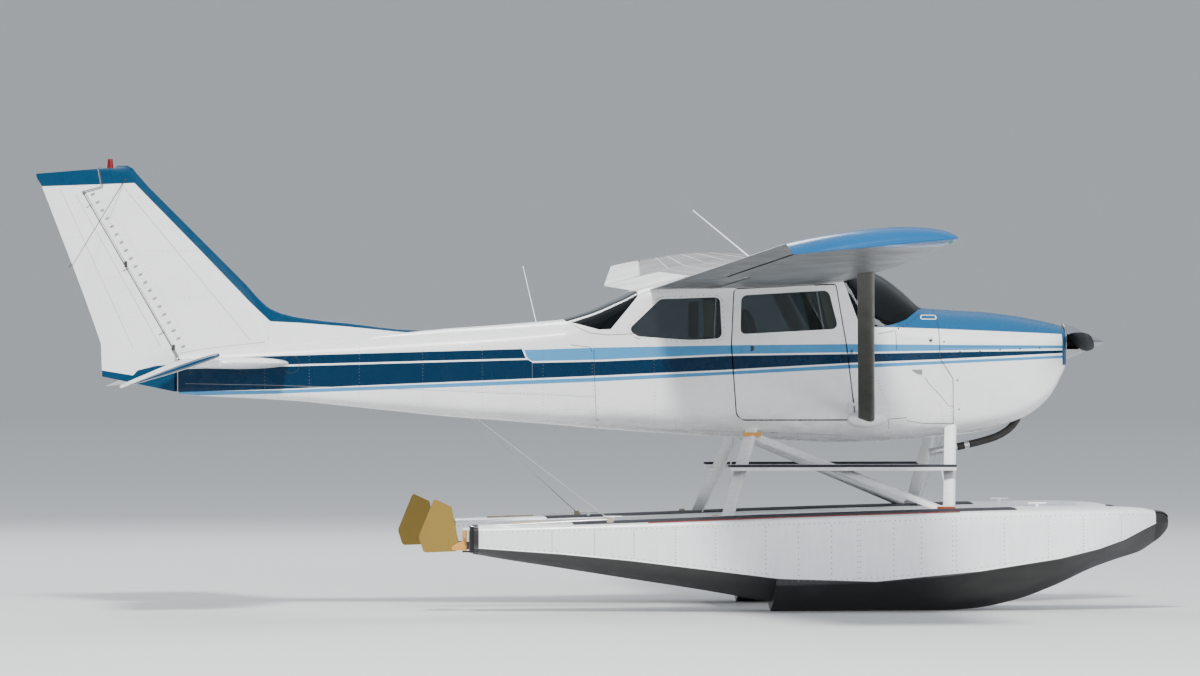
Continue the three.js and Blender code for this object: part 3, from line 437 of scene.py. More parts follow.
def bare_metal(name, color, roughness, stretch, scale=14.0, stain=(0.4, 0.4, 0.39), amount=0.5, metallic=0.9,
               bump=0.0007, over=None):
    """Unpainted sheet: brushed streaks, oxide and dull patches; faces that look up can have paint on them."""
    shader = Shader(name)
    streaks = shader.noise(scale, stretch, 6.0, 0.65)
    clouds = shader.noise(3.1, EVEN, 5.0, 0.6)
    base = shader.mix(shader.ramp(streaks, 0.35, 0.7), vary(color, 0.86), vary(color, 1.06))
    patched = shader.mix(shader.ramp(clouds, 0.5, 0.72, 0.0, amount), base, stain)
    rough = shader.ramp(clouds, 0.35, 0.7, roughness * 0.8, roughness * 1.35)
    # Paint goes on faces that look up; on the flaps and ailerons the bare sheet kept on faces that look down
    # is painted shade
    if over:
        normal = shader.nodes.new("ShaderNodeTexCoord").outputs["Normal"]
        upwards = shader.step_at(shader.node("SeparateXYZ", normal).outputs[2], 0.0, 0.04)
        paint = shader.mix(shader.ramp(clouds, 0.35, 0.65), vary(over, 0.96), vary(over, 1.015))
        patched = shader.mix(upwards, patched, paint)
        metallic = shader.ramp(upwards, 0, 1, metallic, 0.0)
    shader.set(Base_Color=patched, Roughness=rough, Metallic=metallic)
    shader.bump(streaks, 0.25, bump)
    return shader.material


def rough_stuff(name, color, roughness=0.8, scale=60.0, contrast=0.35, bump=0.002, sheen=0.0):
    """Rubber, cloth, plastic and other dull stuff with a fine grain."""
    shader = Shader(name)
    grain = shader.noise(scale, EVEN, *FINE)
    patches = shader.ramp(shader.noise(scale * 0.07, EVEN, 3.0), 0.35, 0.65)
    low, high = vary(color, 1 - contrast), vary(color, 1 + contrast)
    shader.set(Base_Color=shader.mix(patches, shader.mix(grain, low, color), shader.mix(grain, color, high)))
    rough = shader.ramp(grain, 0.3, 0.7, roughness * 0.85, min(1.0, roughness * 1.1))
    shader.set(Roughness=rough, Sheen_Weight=sheen)
    shader.bump(grain, 0.5, bump)
    return shader.material


def glazing(name, tint, dust=0.02, coat=1.0):
    """Clear moulded plastic with fine wiping marks."""
    shader = Shader(name)
    marks = shader.noise(30.0, (1, 1, 7), 5.0, 0.7)
    shader.set(Base_Color=shader.mix(shader.ramp(marks, 0.55, 0.8, 0.0, dust), tint, (0.9, 0.9, 0.88)))
    shader.set(Roughness=shader.ramp(marks, 0.4, 0.8, 0.01, 0.06), IOR=1.12, Transmission_Weight=0.96)
    shader.set(Coat_Weight=coat, Coat_Roughness=0.02, Coat_IOR=1.5)
    return shader.material


WHITE = (0.86, 0.865, 0.87)
NAVY = (0.0015, 0.021, 0.055)
MID_BLUE = (0.012, 0.092, 0.215)
TAIL_BLUE = (0.004, 0.043, 0.098)
SKY_BLUE = (0.07, 0.26, 0.5)
TIP_BLUE = (0.008, 0.088, 0.235)
HULL_BLACK = (0.012, 0.013, 0.014)
SPECK = (0.3, 0.29, 0.27)

# Stripe edges on the body's side and the nose: x and z of each line's bends
STRIPES = {
    "sky_top": [(-1543, 1954), (-984, 1972), (-35, 1989), (919, 1999), (1608, 1994), (2700, 1989)],
    "sky_foot": [(-1600, 1868), (-984, 1880), (-35, 1923), (919, 1937), (1608, 1950), (2700, 1970)],
    "navy_top": [(-1600, 1854), (-984, 1867), (-35, 1909), (919, 1924), (1608, 1937), (2700, 1954)],
    "navy_foot": [(-4200, 1634), (-3394, 1658), (-984, 1760), (-35, 1804), (919, 1856), (1608, 1884),
                  (2700, 1937)],
    "line_top": [(-4200, 1640), (-3394, 1650), (-984, 1747), (-35, 1790), (919, 1844), (1608, 1870),
                 (2700, 1919)],
    "line_foot": [(-4200, 1606), (-3394, 1624), (-984, 1716), (-35, 1766), (919, 1814), (1608, 1847),
                  (2700, 1898)],
    "rear_top": [(-4200, 1885), (-3394, 1909), (-1551, 1962), (-1400, 1966)],
    "pin_top": [(-4200, 1821), (-3394, 1842), (-1551, 1891), (-1400, 1895)],
    "pin_foot": [(-4200, 1808), (-3394, 1828), (-1551, 1879), (-1400, 1883)],
    "nose_blue": [(900, 2133), (1340, 2123), (1608, 2115), (2492, 2080), (2700, 2070)],
}
BODY_SPAN = ((-4300.0, 2800.0), (1500.0, 2300.0))  # x and z ranges of the curves
TAIL_SPAN = ((-5300.0, -2000.0), (1500.0, 3400.0))
HULL_SPAN = ((-2100.0, 3400.0), (0.0, 1000.0))
HULL_LINE_RISE = 6.0
NOSE_BLUE_X = 1110.0  # the blue of the nose starts here
NOSE_BAND_X = 2592.0  # and takes the whole side from here
NOSE_BAND_Z = 1840.0
PANEL_FOOT, PANEL_HEAD = (-1512.0, 1880.0), (-1543.0, 1958.0)  # leaning rear edge of the sky blue panel
PANEL_ROUND_Z = (1905.0, 1862.0)
PANEL_ROUND = 45.0
PIN_GAP = 13.0
BELLY_DARKENING_Z = (1620.0, 1400.0)


def stripe_line(shader, x, points, span=BODY_SPAN):
    """Height of a stripe's edge at x, as a curve node of straight pieces."""
    (left, right), (low, high) = span
    curve = shader.nodes.new("ShaderNodeFloatCurve")
    spline = curve.mapping.curves[0]
    ends = [(left, points[0][1]), *points, (right, points[-1][1])]
    placed = [((px - left) / (right - left), (pz - low) / (high - low)) for px, pz in ends]
    spline.points[0].location = placed[0]
    spline.points[1].location = placed[-1]
    for place in placed[1:-1]:
        spline.points.new(*place)
    for point in spline.points:
        point.handle_type = "VECTOR"
    curve.mapping.update()
    shader.put(curve.inputs["Value"], shader.ramp(x, (left + SHIFT) * MM, (right + SHIFT) * MM))
    return shader.ramp(curve.outputs[0], 0.0, 1.0, low * MM, high * MM)


def two_tone(shader, color, dark, wear, rough, ripple, coat=(0.0, 0.0)):
    """Finishes light and dark paint: specks of dirt, a wavy skin and less glare where it is dark."""
    specks = shader.ramp(shader.noise(60.0, EVEN, *FINE), 0.64, 0.75, 0.0, wear)
    shader.set(Base_Color=shader.mix(specks, color, SPECK), Coat_Weight=coat[0], Coat_Roughness=coat[1])
    shader.set(Roughness=shader.ramp(shader.noise(9.0), 0.3, 0.7, *rough))
    shader.set(Specular_IOR_Level=shader.ramp(dark, 0, 1, 0.4, 0.12))
    shader.bump(shader.noise(4.0, EVEN, 2.0), 0.35, ripple)
    return shader.material


def livery(name):
    """White body paint with the stripes, laid out by x and z on both sides."""
    shader = Shader(name)
    both, either, without = shader.both, shader.either, shader.without
    x, _, z = shader.axes()
    above = {key: shader.step_at(z, stripe_line(shader, x, points)) for key, points in STRIPES.items()}
    # The sky blue panel starts at a leaning edge with a rounded foot
    (foot_x, foot_z), (head_x, head_z) = PANEL_FOOT, PANEL_HEAD
    lean = shader.ramp(z, foot_z * MM, head_z * MM, (foot_x + SHIFT) * MM, (head_x + SHIFT) * MM)
    foot = shader.math("POWER", shader.ramp(z, PANEL_ROUND_Z[0] * MM, PANEL_ROUND_Z[1] * MM), 2.0)
    panel_edge = shader.math("ADD", lean, both(foot, PANEL_ROUND * MM))
    ahead = shader.step_at(x, panel_edge)
    pin_ahead = shader.step_at(x, shader.math("SUBTRACT", panel_edge, PIN_GAP * MM))

    def between(low, high):
        return both(above[low], without(above[high]))

    rear_stripe = both(between("navy_foot", "rear_top"), without(between("pin_foot", "pin_top")))
    rear_navy = both(without(pin_ahead), rear_stripe)
    navy = either(rear_navy, both(between("navy_foot", "navy_top"), pin_ahead))
    sky = both(between("sky_foot", "sky_top"), ahead)
    line = between("line_foot", "line_top")
    band = both(shader.step_at(x, (NOSE_BAND_X + SHIFT) * MM), shader.step_at(z, NOSE_BAND_Z * MM))
    nose = either(both(above["nose_blue"], shader.step_at(x, (NOSE_BLUE_X + SHIFT) * MM)), band)
    color = clouded(shader, WHITE, 0.96, 1.015)
    for share, paint in ((line, SKY_BLUE), (sky, SKY_BLUE), (navy, NAVY), (nose, MID_BLUE)):
        color = shader.mix(share, color, paint)
    dark = either(either(navy, either(sky, line)), nose)
    # Darker streaks towards the belly
    low = shader.ramp(z, BELLY_DARKENING_Z[0] * MM, BELLY_DARKENING_Z[1] * MM, 0.0, 0.5)
    belly_darkening = both(low, shader.ramp(shader.noise(7.0, (0.35, 1, 1), 6.0, 0.7), 0.4, 0.75))
    color = shader.mix(belly_darkening, color, (0.33, 0.32, 0.3))
    return two_tone(shader, color, dark, 0.12, (0.2, 0.34), 0.0014, (0.1, 0.07))


LIVERY = livery("body_livery")
WHITE_PAINT = painted("white_paint", WHITE)
BLUE_PAINT = painted("tip_blue_paint", TIP_BLUE, 0.22, specular=0.15)
# Bare wing sheet, darker than bare aluminium: partly its own grey, partly painted shade under the wing
SHADED_WING_SHEET = ((0.2, 0.205, 0.21), 0.36, (1, 9, 1), 14.0, (0.15, 0.15, 0.145))
SHADED_WING_METAL = bare_metal("wing_sheet_with_painted_shade", *SHADED_WING_SHEET)
# Flaps and ailerons: white paint on faces that look up; the grey bare sheet on their undersides is painted
# shade of white paint
PANEL_SKIN_SHADED_UNDER = bare_metal("wing_panel_with_shaded_underside", *SHADED_WING_SHEET, over=WHITE)
STRUT_METAL = bare_metal("strut_metal", (0.9, 0.91, 0.92), 0.4, (1, 1, 9), 14.0, (0.78,) * 3, 0.4, 0.15)
DULL_STRUT = bare_metal(
    "dull_strut_metal", (0.13, 0.13, 0.115), 0.42, (6, 6, 1), 9.0, (0.08, 0.08, 0.07), 0.5, 0.7)
POLISHED = bare_metal(
    "spinner_polish", (0.42, 0.43, 0.45), 0.28, (4, 1, 1), 9.0, (0.7,) * 3, 0.2, 1.0, 0.0002)
PLANK_METAL = bare_metal("plank_sheet", (0.75, 0.76, 0.78), 0.45, (1, 6, 6), 12.0, (0.6,) * 3, 0.4, 0.2)
EXHAUST = bare_metal("exhaust_steel", (0.05, 0.048, 0.046), 0.55, EVEN, 30.0, (0.12, 0.08, 0.05), 0.5, 0.6)
ENGINE_CAST = bare_metal("engine_casting", (0.25, 0.25, 0.24), 0.6, EVEN, 40.0, (0.1, 0.09, 0.08), 0.5, 0.6)
SILVER = bare_metal("clamp_steel", (0.7, 0.7, 0.7), 0.3, EVEN, 40.0)
RIVET_METAL = bare_metal("rivet_metal", (0.16, 0.16, 0.165), 0.45, EVEN, 50.0)
RIVET_WHITE = painted("rivet_white", (0.8, 0.8, 0.8), 0.4)
BLADE_BLACK = painted("blade_black", (0.008, 0.008, 0.009), 0.5, wear=0.1, coat=0.0, specular=0.15)
RED_TRIM = painted("deck_red_line", (0.27, 0.02, 0.015), 0.45)
KHAKI = painted("rudder_khaki", (0.25, 0.165, 0.035), 0.5, wear=0.3, coat=0.0, specular=0.2)
ORANGE = painted("fitting_orange", (0.62, 0.3, 0.05), 0.4, wear=0.4, coat=0.05)
RED_FITTING = painted("fitting_red", (0.42, 0.07, 0.025), 0.45, wear=0.4, coat=0.05)
SKY_PAINT = painted("sky_paint", SKY_BLUE, 0.3, specular=0.2)
BEACON_RED = painted("beacon_red", (0.16, 0.004, 0.003), 0.15, wear=0.0, coat=0.5)
RED_LENS = painted("red_lens", (0.5, 0.02, 0.01), 0.12, wear=0.0, coat=1.0)
GREEN_LENS = painted("green_lens", (0.01, 0.25, 0.1), 0.12, wear=0.0, coat=1.0)
BLACK_RUBBER = rough_stuff("black_rubber", (0.012, 0.012, 0.013), 0.6)
DECK_GRIT = rough_stuff("deck_walkway", (0.03, 0.033, 0.042), 0.9, 120.0, 0.4, 0.003)
SEAT_CLOTH = rough_stuff("seat_cloth", (0.05, 0.055, 0.07), 0.9, 220.0, 0.3, 0.0015, 0.35)
TAN_TRIM = rough_stuff("cabin_tan_trim", (0.42, 0.35, 0.25), 0.7, 90.0, 0.15, 0.001)
DARK_PLASTIC = rough_stuff("panel_plastic", (0.02, 0.021, 0.023), 0.55, 150.0, 0.25, 0.0008)
LINING = rough_stuff("cabin_lining", (0.03, 0.031, 0.033), 0.85, 140.0, 0.25, 0.001)
SEAM_DARK = rough_stuff("seam_shadow", (0.03, 0.03, 0.032))
SEAM_GREY = rough_stuff("seam_grey", (0.22, 0.22, 0.225), 0.7)
GLASS = glazing("cabin_glazing", (0.22, 0.26, 0.275))
DARK_GLASS = glazing("windshield_glazing", (0.045, 0.062, 0.068), coat=0.4)


# Small parts

class Bits:
    """Many small closed solids gathered into one piece."""

    def __init__(self):
        self.points, self.faces = [], []

    def add(self, rings):
        points = [Vector(p) for ring in rings for p in ring]
        faces = outward([p - points[0] for p in points], ring_faces(len(rings), len(rings[0])))
        base = len(self.points)
        self.points += [tuple(p) for p in points]
        self.faces += [tuple(base + i for i in face) for face in faces]

    def dome(self, place, normal, radius, height, sides=6):
        fore, side, up = frame_of(normal)
        levels = (1, -1.5), (0.97, 0.25 * height), (0.75, 0.75 * height), (0.3, height)
        self.add([
            [Vector(place) + (fore * c + side * s) * (radius * r) + up * h for c, s in round_turn(sides)]
            for r, h in levels
        ])

    def domes(self, places, *shape):
        """A dome at each place on a skin, given with the way out of the skin there."""
        for place, normal in places:
            self.dome(place, normal, *shape)

    def rod(self, start, end, radius, end_radius=None, sides=8):
        self.add(rod_rings(start, end, radius, end_radius, sides))

    def block(self, x, y, z, lean=0.0):
        ring = [(x[0], z[0]), (x[1], z[0]), (x[1] + lean, z[1]), (x[0] + lean, z[1])]
        self.add([[(px, level, pz) for px, pz in ring] for level in y])

    def ribbon(self, path, width, high=0.8, deep=1.5):
        """A strip along places on a skin, each given with the way out of the skin there."""
        rings = []
        for k, (place, normal) in enumerate(path):
            ahead = path[min(k + 1, len(path) - 1)][0] - path[max(k - 1, 0)][0]
            across = normal.cross(ahead).normalized() * (width / 2)
            up, down = place + normal * high, place - normal * deep
            rings.append([up + across, up - across, down - across, down + across])
        self.add(rings)

    def patch(self, outline, high=2.0, deep=2.0):
        """A plate on the body's right side, from its outline in x and z."""
        self.add([[on_side(x, z, level) for x, z in outline] for level in (high, -deep)])

    def bulge(self, x, z, half_x, half_z, height):
        """An oval swelling on the body's right side."""
        place, normal = side_place(x, z)
        along = Vector((1, 0, 0)) - normal * normal.x
        up = normal.cross(along).normalized()
        curve = (0.97, 0.3), (0.86, 0.62), (0.62, 0.87), (0.3, 0.98), (0.05, 1)
        levels = [(1, -30), (1, -6), *((r, h * height) for r, h in curve)]
        self.add([
            [place + along * (c * half_x * r) + up * (s * half_z * r) + normal * h for c, s in round_turn(36)]
            for r, h in levels
        ])

    def finish(self, *names, **options):
        finish_piece(solid(self.points, self.faces), *names, **options)

    def finish_pair(self, *names, **options):
        finish_pair(solid(self.points, self.faces), *names, **options)


def along_line(points, spacing):
    """Places at an even spacing along a bent line, both ends included."""
    points = [Vector(p) for p in points]
    made = []
    for a, b in zip(points, points[1:]):
        steps = max(1, round((b - a).length / spacing))
        made += [a.lerp(b, k / steps) for k in range(steps)]
    return made + [points[-1]]


# Body skin

CONE_X = -1230.0  # where the tail cone starts
CONE_START = (CONE_X, 1382, 2184, 412, 2010, 2.8)
# Columns: x, bottom, top, half width, shoulder height, power of the curve above the shoulder
BODY_ROWS = [
    (2634, 1815, 2128, 225, 2010, 2.2),
    (2606, 1770, 2146, 285, 1995, 2.2),
    (2512, 1603, 2171, 345, 1990, 2.2),
    (2411, 1503, 2191, 378, 1990, 2.2),
    (2302, 1435, 2211, 402, 1990, 2.3),
    (2161, 1381, 2231, 426, 1990, 2.4),
    (2006, 1336, 2248, 444, 1990, 2.5),
    (1812, 1306, 2258, 460, 2000, 2.5),
    (1604, 1288, 2272, 480, 2010, 2.5),
    (1535, 1281, 2279, 488, 2020, 2.5),
    (1388, 1269, 2409, 502, 2050, 2.0),
    (1233, 1258, 2524, 514, 2080, 1.95),
    (1050, 1252, 2598, 525, 2130, 2.2),
    (940, 1251, 2610, 529, 2290, 3.2),
    (800, 1251, 2560, 531, 2380, 8),
    (300, 1280, 2500, 531, 2365, 8),
    (-300, 1313, 2450, 522, 2320, 8),
    (-600, 1332, 2430, 500, 2270, 6),
    (-800, 1346, 2345, 472, 2190, 4),
    (-1022, 1364, 2249, 440, 2090, 3.2),
    CONE_START,
]
CONE_ROWS = [
    CONE_START,
    (-1690, 1420, 2146, 350, 1960, 2.6),
    (-2070, 1448, 2119, 300, 1930, 2.5),
    (-2450, 1487, 2084, 252, 1905, 2.5),
    (-2830, 1526, 2046, 205, 1885, 2.5),
    (-3210, 1566, 2012, 162, 1865, 2.5),
    (-3600, 1590, 1975, 120, 1845, 2.5),
    (-3890, 1604, 1948, 92, 1830, 2.5),
    (-4125, 1620, 1926, 68, 1815, 2.5),
]
BELLY_POWER = 3.4
BELLY_SHARE = 0.3  # of the height below the shoulder that is rounded
QUARTER = 15


def body_ring(row, inset):
    x, bottom, top, half, shoulder, power = row
    low = bottom + (shoulder - bottom) * BELLY_SHARE
    width = half - inset
    right = []
    for k in range(QUARTER + 1):
        angle = (math.pi / 2) * (1 - k / QUARTER)
        y = 0 if k == 0 else -width * math.cos(angle) ** (2 / power)
        right.append((x, y, shoulder + (top - inset - shoulder) * math.sin(angle) ** (2 / power)))
    for k in range(QUARTER + 1):
        angle = (math.pi / 2) * (k / QUARTER)
        y = 0 if k == QUARTER else -width * math.cos(angle) ** (2 / BELLY_POWER)
        right.append((x, y, low - (low - bottom - inset) * math.sin(angle) ** (2 / BELLY_POWER)))
    left = [(px, -py, pz) for px, py, pz in reversed(right[1:-1])]
    return right + left


def body_solid(rows, inset=0.0, front=None, rear=None, step=55.0):
    """The body shrunk by an inset; its rear and front ends are moved in by the insets given for them."""
    rings = np.array([body_ring(row, inset) for row in smooth_rows(rows, step)])
    rings[0, :, 0] += inset if rear is None else rear
    rings[-1, :, 0] -= inset if front is None else front
    return loft(rings)


CABIN_FINE, CONE_FINE = smooth_rows(BODY_ROWS, 20.0), smooth_rows(CONE_ROWS, 20.0)


def on_side(x, z, proud=0.0):
    """Point on the body's right side at x and z, or a distance out of it."""
    _, bottom, top, half, shoulder, power = row_at(CABIN_FINE if x >= CONE_X else CONE_FINE, x)
    low = bottom + (shoulder - bottom) * BELLY_SHARE
    if z > shoulder:
        share = (z - shoulder) / (top - shoulder)
    else:
        share, power = max(0.0, low - z) / (low - bottom), BELLY_POWER
    return Vector((x, -half * (1 - min(1.0, share) ** power) ** (1 / power) - proud, z))


def side_place(x, z):
    """Point on the body's right side, and the way out of the skin there."""
    step = 6.0
    along = on_side(x + step, z) - on_side(x - step, z)
    up = on_side(x, z + step) - on_side(x, z - step)
    normal = along.cross(up).normalized()
    return on_side(x, z), normal if normal.y < 0 else -normal


def side_path(points, spacing=30.0):
    return [side_place(x, z) for x, z in along_line(points, spacing)]


# Outlines of openings, in x and z
WINDSHIELD = [(1000, 2124), (1140, 2131), (1232, 2143), (1310, 2166), (1360, 2187), (1406, 2220),
              (1467, 2259), (1545, 2279), (1760, 2420), (1126, 2660), (867, 2479)]
REAR_WINDOW = [(-1215, 2172), (-983, 2108), (-893, 2111), (-690, 2360), (-662, 2520), (-1260, 2520)]
DOOR_WINDOW = rounded([(90, 2366), (84, 2073), (832, 2114), (756, 2405)], (48, 36, 42, 52))
SIDE_WINDOW = rounded(
    [(-72, 2353), (-524, 2338), (-764, 2106), (-690, 2056), (-300, 2028), (-56, 2042)],
    (38, 60, 44, 60, 900, 44))
DOOR_OPENING = rounded(
    [(30, 2420), (10, 1990), (52, 1420), (968, 1420), (898, 1985), (816, 2457)], (42, 0, 80, 60, 0, 30))
DOOR = grown(DOOR_OPENING, -9.5)
COWL_EDGE = [(1593, 2500), (1598, 2237), (1616, 1888), (1715, 1737), (1722, 1100)]
SPLIT_Z = 1978.0
SPLIT_GAP = 1.2


def ahead_of_edge(set_back):
    return [(x + set_back, z) for x, z in COWL_EDGE] + [(2900, BELOW), (2900, ABOVE)]


# Wing section and stations

CAMBER = 0.02
CAMBER_PEAK = 0.4
REAR_EDGE = 0.0012  # half thickness of the trailing edge
CHORD_STEPS = 26


def aerofoil_height(x, thickness, camber, upper):
    """Height of a four-digit section's skin, in chords, at a share of the chord."""
    half = 5 * thickness * (
        0.2969 * math.sqrt(x) - 0.126 * x - 0.3516 * x ** 2 + 0.2843 * x ** 3 - 0.1036 * x ** 4
    )
    peak = CAMBER_PEAK
    if x < peak:
        middle = camber / peak ** 2 * (2 * peak * x - x ** 2)
    else:
        middle = camber / (1 - peak) ** 2 * (1 - 2 * peak + 2 * peak * x - x ** 2)
    edge = REAR_EDGE * x
    return middle + (half + edge if upper else -half - edge)


def aerofoil_loop(thickness, camber):
    stations = [0.5 * (1 - math.cos(math.pi * k / CHORD_STEPS)) for k in range(CHORD_STEPS + 1)]
    top = [(x, aerofoil_height(x, thickness, camber, True)) for x in reversed(stations)]
    under = [(x, aerofoil_height(x, thickness, camber, False)) for x in stations[1:]]
    return top + under


# Columns: y, leading edge x, leading edge z, chord, incidence, thickness ratio
WING_ROWS = [
    (585, 1023, 2548, 1626, 4.8, 0.12),
    (2600, 1023, 2609, 1626, 4.8, 0.12),
    (5200, 930, 2706, 1175, 1.8, 0.12),
]
CENTRE_Y = 584.7
TIP_Y = (5200.3, 5460.0)
TIP_EDGE = ((890.0, 2700.0), (-222.0, 2593.0))
TIP_LEAST_HEIGHT = 0.07
TIP_RINGS = 20


def wing_point(row, x, z):
    y, edge_x, edge_z, chord, incidence = row[:5]
    tilt = math.radians(incidence)
    along, up = x * chord, z * chord
    return (
        edge_x - along * math.cos(tilt) + up * math.sin(tilt),
        -y,
        edge_z - along * math.sin(tilt) + up * math.cos(tilt),
    )


def wing_solid(rows, drop_z=0.0):
    rings = np.array([[wing_point(row, x, z) for x, z in aerofoil_loop(row[5], CAMBER)] for row in rows])
    rings[:, :, 2] -= drop_z
    return loft(rings)


def centre_section(ahead=0.0, drop_z=0.0):
    root = (WING_ROWS[0][1] + ahead, *WING_ROWS[0][2:])
    return wing_solid([(-CENTRE_Y, *root), (CENTRE_Y, *root)], drop_z)


def tip_ring(share):
    """A section of the drooped tip: the underside runs out to a line and the top closes down on it."""
    rib = WING_ROWS[2]
    y = TIP_Y[0] + (TIP_Y[1] - TIP_Y[0]) * share
    height = max(math.sqrt(1 - share ** 2), TIP_LEAST_HEIGHT)
    ring = []
    for x, z in aerofoil_loop(rib[5], CAMBER):
        here = wing_point(rib, x, z)
        under = wing_point(rib, x, aerofoil_height(x, rib[5], CAMBER, False))[2]
        edge_x, edge_z = (a + (b - a) * x for a, b in zip(*TIP_EDGE))
        base = under + (edge_z - under) * share ** 2
        ring.append((here[0] + (edge_x - here[0]) * share ** 4, -y, base + (here[2] - under) * height))
    return ring


def in_wing(y, x, share):
    """Place in the right wing, a share of the way from the lower skin to the upper one."""
    row = row_at(WING_ROWS, y)
    under, over = (aerofoil_height(x, row[5], CAMBER, upper) for upper in (False, True))
    return np.array(wing_point(row, x, under + (over - under) * share))


# Hinge arms stand in slots of the moving panel
ARM_WIDTH, ARM_DEPTH = 8.0, 18.0
SLOT_WIDTH = 9.4
BAY_HIGH, BAY_DEEP = 220.0, 900.0
NOSE_SIDES = 40


def hinge_arm(place, along, length, reach):
    return lug_block((length, ARM_WIDTH, ARM_DEPTH), place, along, reach)


def hinge_slot(place, along, length, depth, reach):
    return lug_block((length, SLOT_WIDTH, depth), place, along, reach)


def bay_block(start, end, ahead):
    """All that is behind a hinge line, above and below the wing too."""
    corners = [(ahead, BAY_HIGH), (-BAY_DEEP, BAY_HIGH), (-BAY_DEEP, -BAY_HIGH), (ahead, -BAY_HIGH)]
    return loft([[(p[0] + dx, p[1], p[2] + dz) for dx, dz in corners] for p in (start, end)])


def hinged_panel(ys, chord_shares, noses, share, lugs):
    """A panel behind the wing with a round nose, the bay it turns in and the arms that carry it."""
    ends = [in_wing(y, x, share) for y, x in zip(ys, chord_shares)]
    along = ends[1] - ends[0]

    def axis(y):
        return ends[0] + along * (y - ys[0]) / (ys[1] - ys[0])

    a, b = axis(ys[0] + CLEAR), axis(ys[1] - CLEAR)
    panel = common(wing_solid(WING_ROWS), bay_block(a, b, 0))
    join(panel, rod(a, b, *noses, NOSE_SIDES))
    bay = bay_block(*ends, CLEAR)
    join(bay, rod(*ends, *(nose + BAY_GAP for nose in noses), NOSE_SIDES))
    for y in lugs:
        cut(panel, hinge_slot(axis(y), along, 108, 300, 28))
    return panel, bay, [hinge_arm(axis(y), along, 82, 32) for y in lugs]


# Ends in y, the hinge's shares of the chord there, nose radii, share of the height, places of the arms
AILERON = ((2620, 5190), (0.83, 0.81), (37, 29), 0.5, (2760, 3900, 5050))
FLAP = ((610, 2560), (0.725, 0.725), (51, 51), 0.42, (760, 1600, 2400))


def build_wing():
    aileron, aileron_bay, aileron_arms = hinged_panel(*AILERON)
    flap, flap_bay, flap_arms = hinged_panel(*FLAP)
    wing = wing_solid(WING_ROWS)
    cut(wing, aileron_bay, flap_bay)
    join(wing, *aileron_arms, *flap_arms)
    # The wing's sheet is darker than bare aluminium, partly as painted shade
    finish_pair(wing, "wing_skin", "bare_skin", SHADED_WING_METAL, ("wing",))
    # Flap and aileron undersides in grey bare sheet: painted shade of their white paint
    for panel, name in ((aileron, "aileron"), (flap, "flap")):
        finish_pair(panel, name + "_skin", "white_skin", PANEL_SKIN_SHADED_UNDER, (name,), name + "_{side}")
    tip = loft([tip_ring(math.sin(math.pi / 2 * k / TIP_RINGS)) for k in range(TIP_RINGS + 1)])
    finish_pair(tip, "wing_tip_cap", "blue_skin", BLUE_PAINT, ("wing_tip",))


FIREWALL_X = (1564.0, 1590.0)
CONE_HOLE = ((-1270, -1170), (-230, 230), (1560, 2000))  # in the rear wall, into the tail cone


def cut_openings(piece):
    """Cuts the windshield, the rear window, the side windows and the doors out of a body skin."""
    cut(piece, through(WINDSHIELD), through(REAR_WINDOW))
    for side in (-1, 1):
        cut(piece, through(SIDE_WINDOW, side), through(DOOR_OPENING, side))


def build_body():
    outer = body_solid(BODY_ROWS, 0.0, 0.0, 0.0)
    inner = body_solid(BODY_ROWS, WALL, WALL, WALL)
    shell = copy_of(outer)
    join(shell, centre_section())
    cut(shell, inner, keep=True)
    join(shell, common(box(FIREWALL_X, (-BEYOND, BEYOND), (BELOW, ABOVE)), outer, keep=True))
    cut(shell, through(ahead_of_edge(-SEAT_GAP)), box(*CONE_HOLE))
    cut_openings(shell)
    door_shell = cut(copy_of(outer), inner)
    common(door_shell, through(DOOR, -1))
    cut(door_shell, through(DOOR_WINDOW, -1))
    for share, edge_x in HINGE_EDGES:
        add_door_hinge(shell, door_shell, share, edge_x)
    finish_piece(shell, "cabin_skin", "white_skin", LIVERY, ("cabin_shell",))
    finish_pair(door_shell, "door_skin", "white_skin", LIVERY, ("door",), "door_{side}")
    drop(outer)


HINGE_FOOT = (957.0, 1560.0)
HINGE_HEAD = (944.0, 1930.0)
HINGE_Y = 546.0
HINGE_EDGES = ((0, 941), (1, 896))  # share of the way up the hinge line, x of the door's edge there
BARREL = 10.0
BARREL_HALF = 30.0


def hinge_place(share, along):
    lean = (HINGE_HEAD[0] - HINGE_FOOT[0]) / (HINGE_HEAD[1] - HINGE_FOOT[1])
    x = HINGE_FOOT[0] + (HINGE_HEAD[0] - HINGE_FOOT[0]) * share + lean * along
    return (x, -HINGE_Y, HINGE_FOOT[1] + (HINGE_HEAD[1] - HINGE_FOOT[1]) * share + along)


def add_door_hinge(shell, door_shell, share, edge_x):
    """A barrel hinge whose upper half is on the body and whose lower half is on the door."""
    x, y, z = hinge_place(share, 0)
    fixed = rod(hinge_place(share, 0.7), hinge_place(share, BARREL_HALF), BARREL, sides=20)
    join(fixed, box((x + 2, x + 34), (y + 1, y + 22), (z + 2, z + BARREL_HALF)))
    join(shell, mirrored(fixed), fixed)
    moving = rod(hinge_place(share, -BARREL_HALF), hinge_place(share, 0), BARREL, sides=20)
    low = (z - BARREL_HALF, z - 4)
    join(moving, box((edge_x - 34, x - 2), (y - 8, y + 8), low))
    join(moving, box((edge_x - 34, edge_x - 4), (y - 6, y + 24), low))
    join(door_shell, moving)


PANE = 7.0


def glass_skin(depth):
    return cut(body_solid(BODY_ROWS, depth, 0, 0), body_solid(BODY_ROWS, depth + PANE, 0, 0))


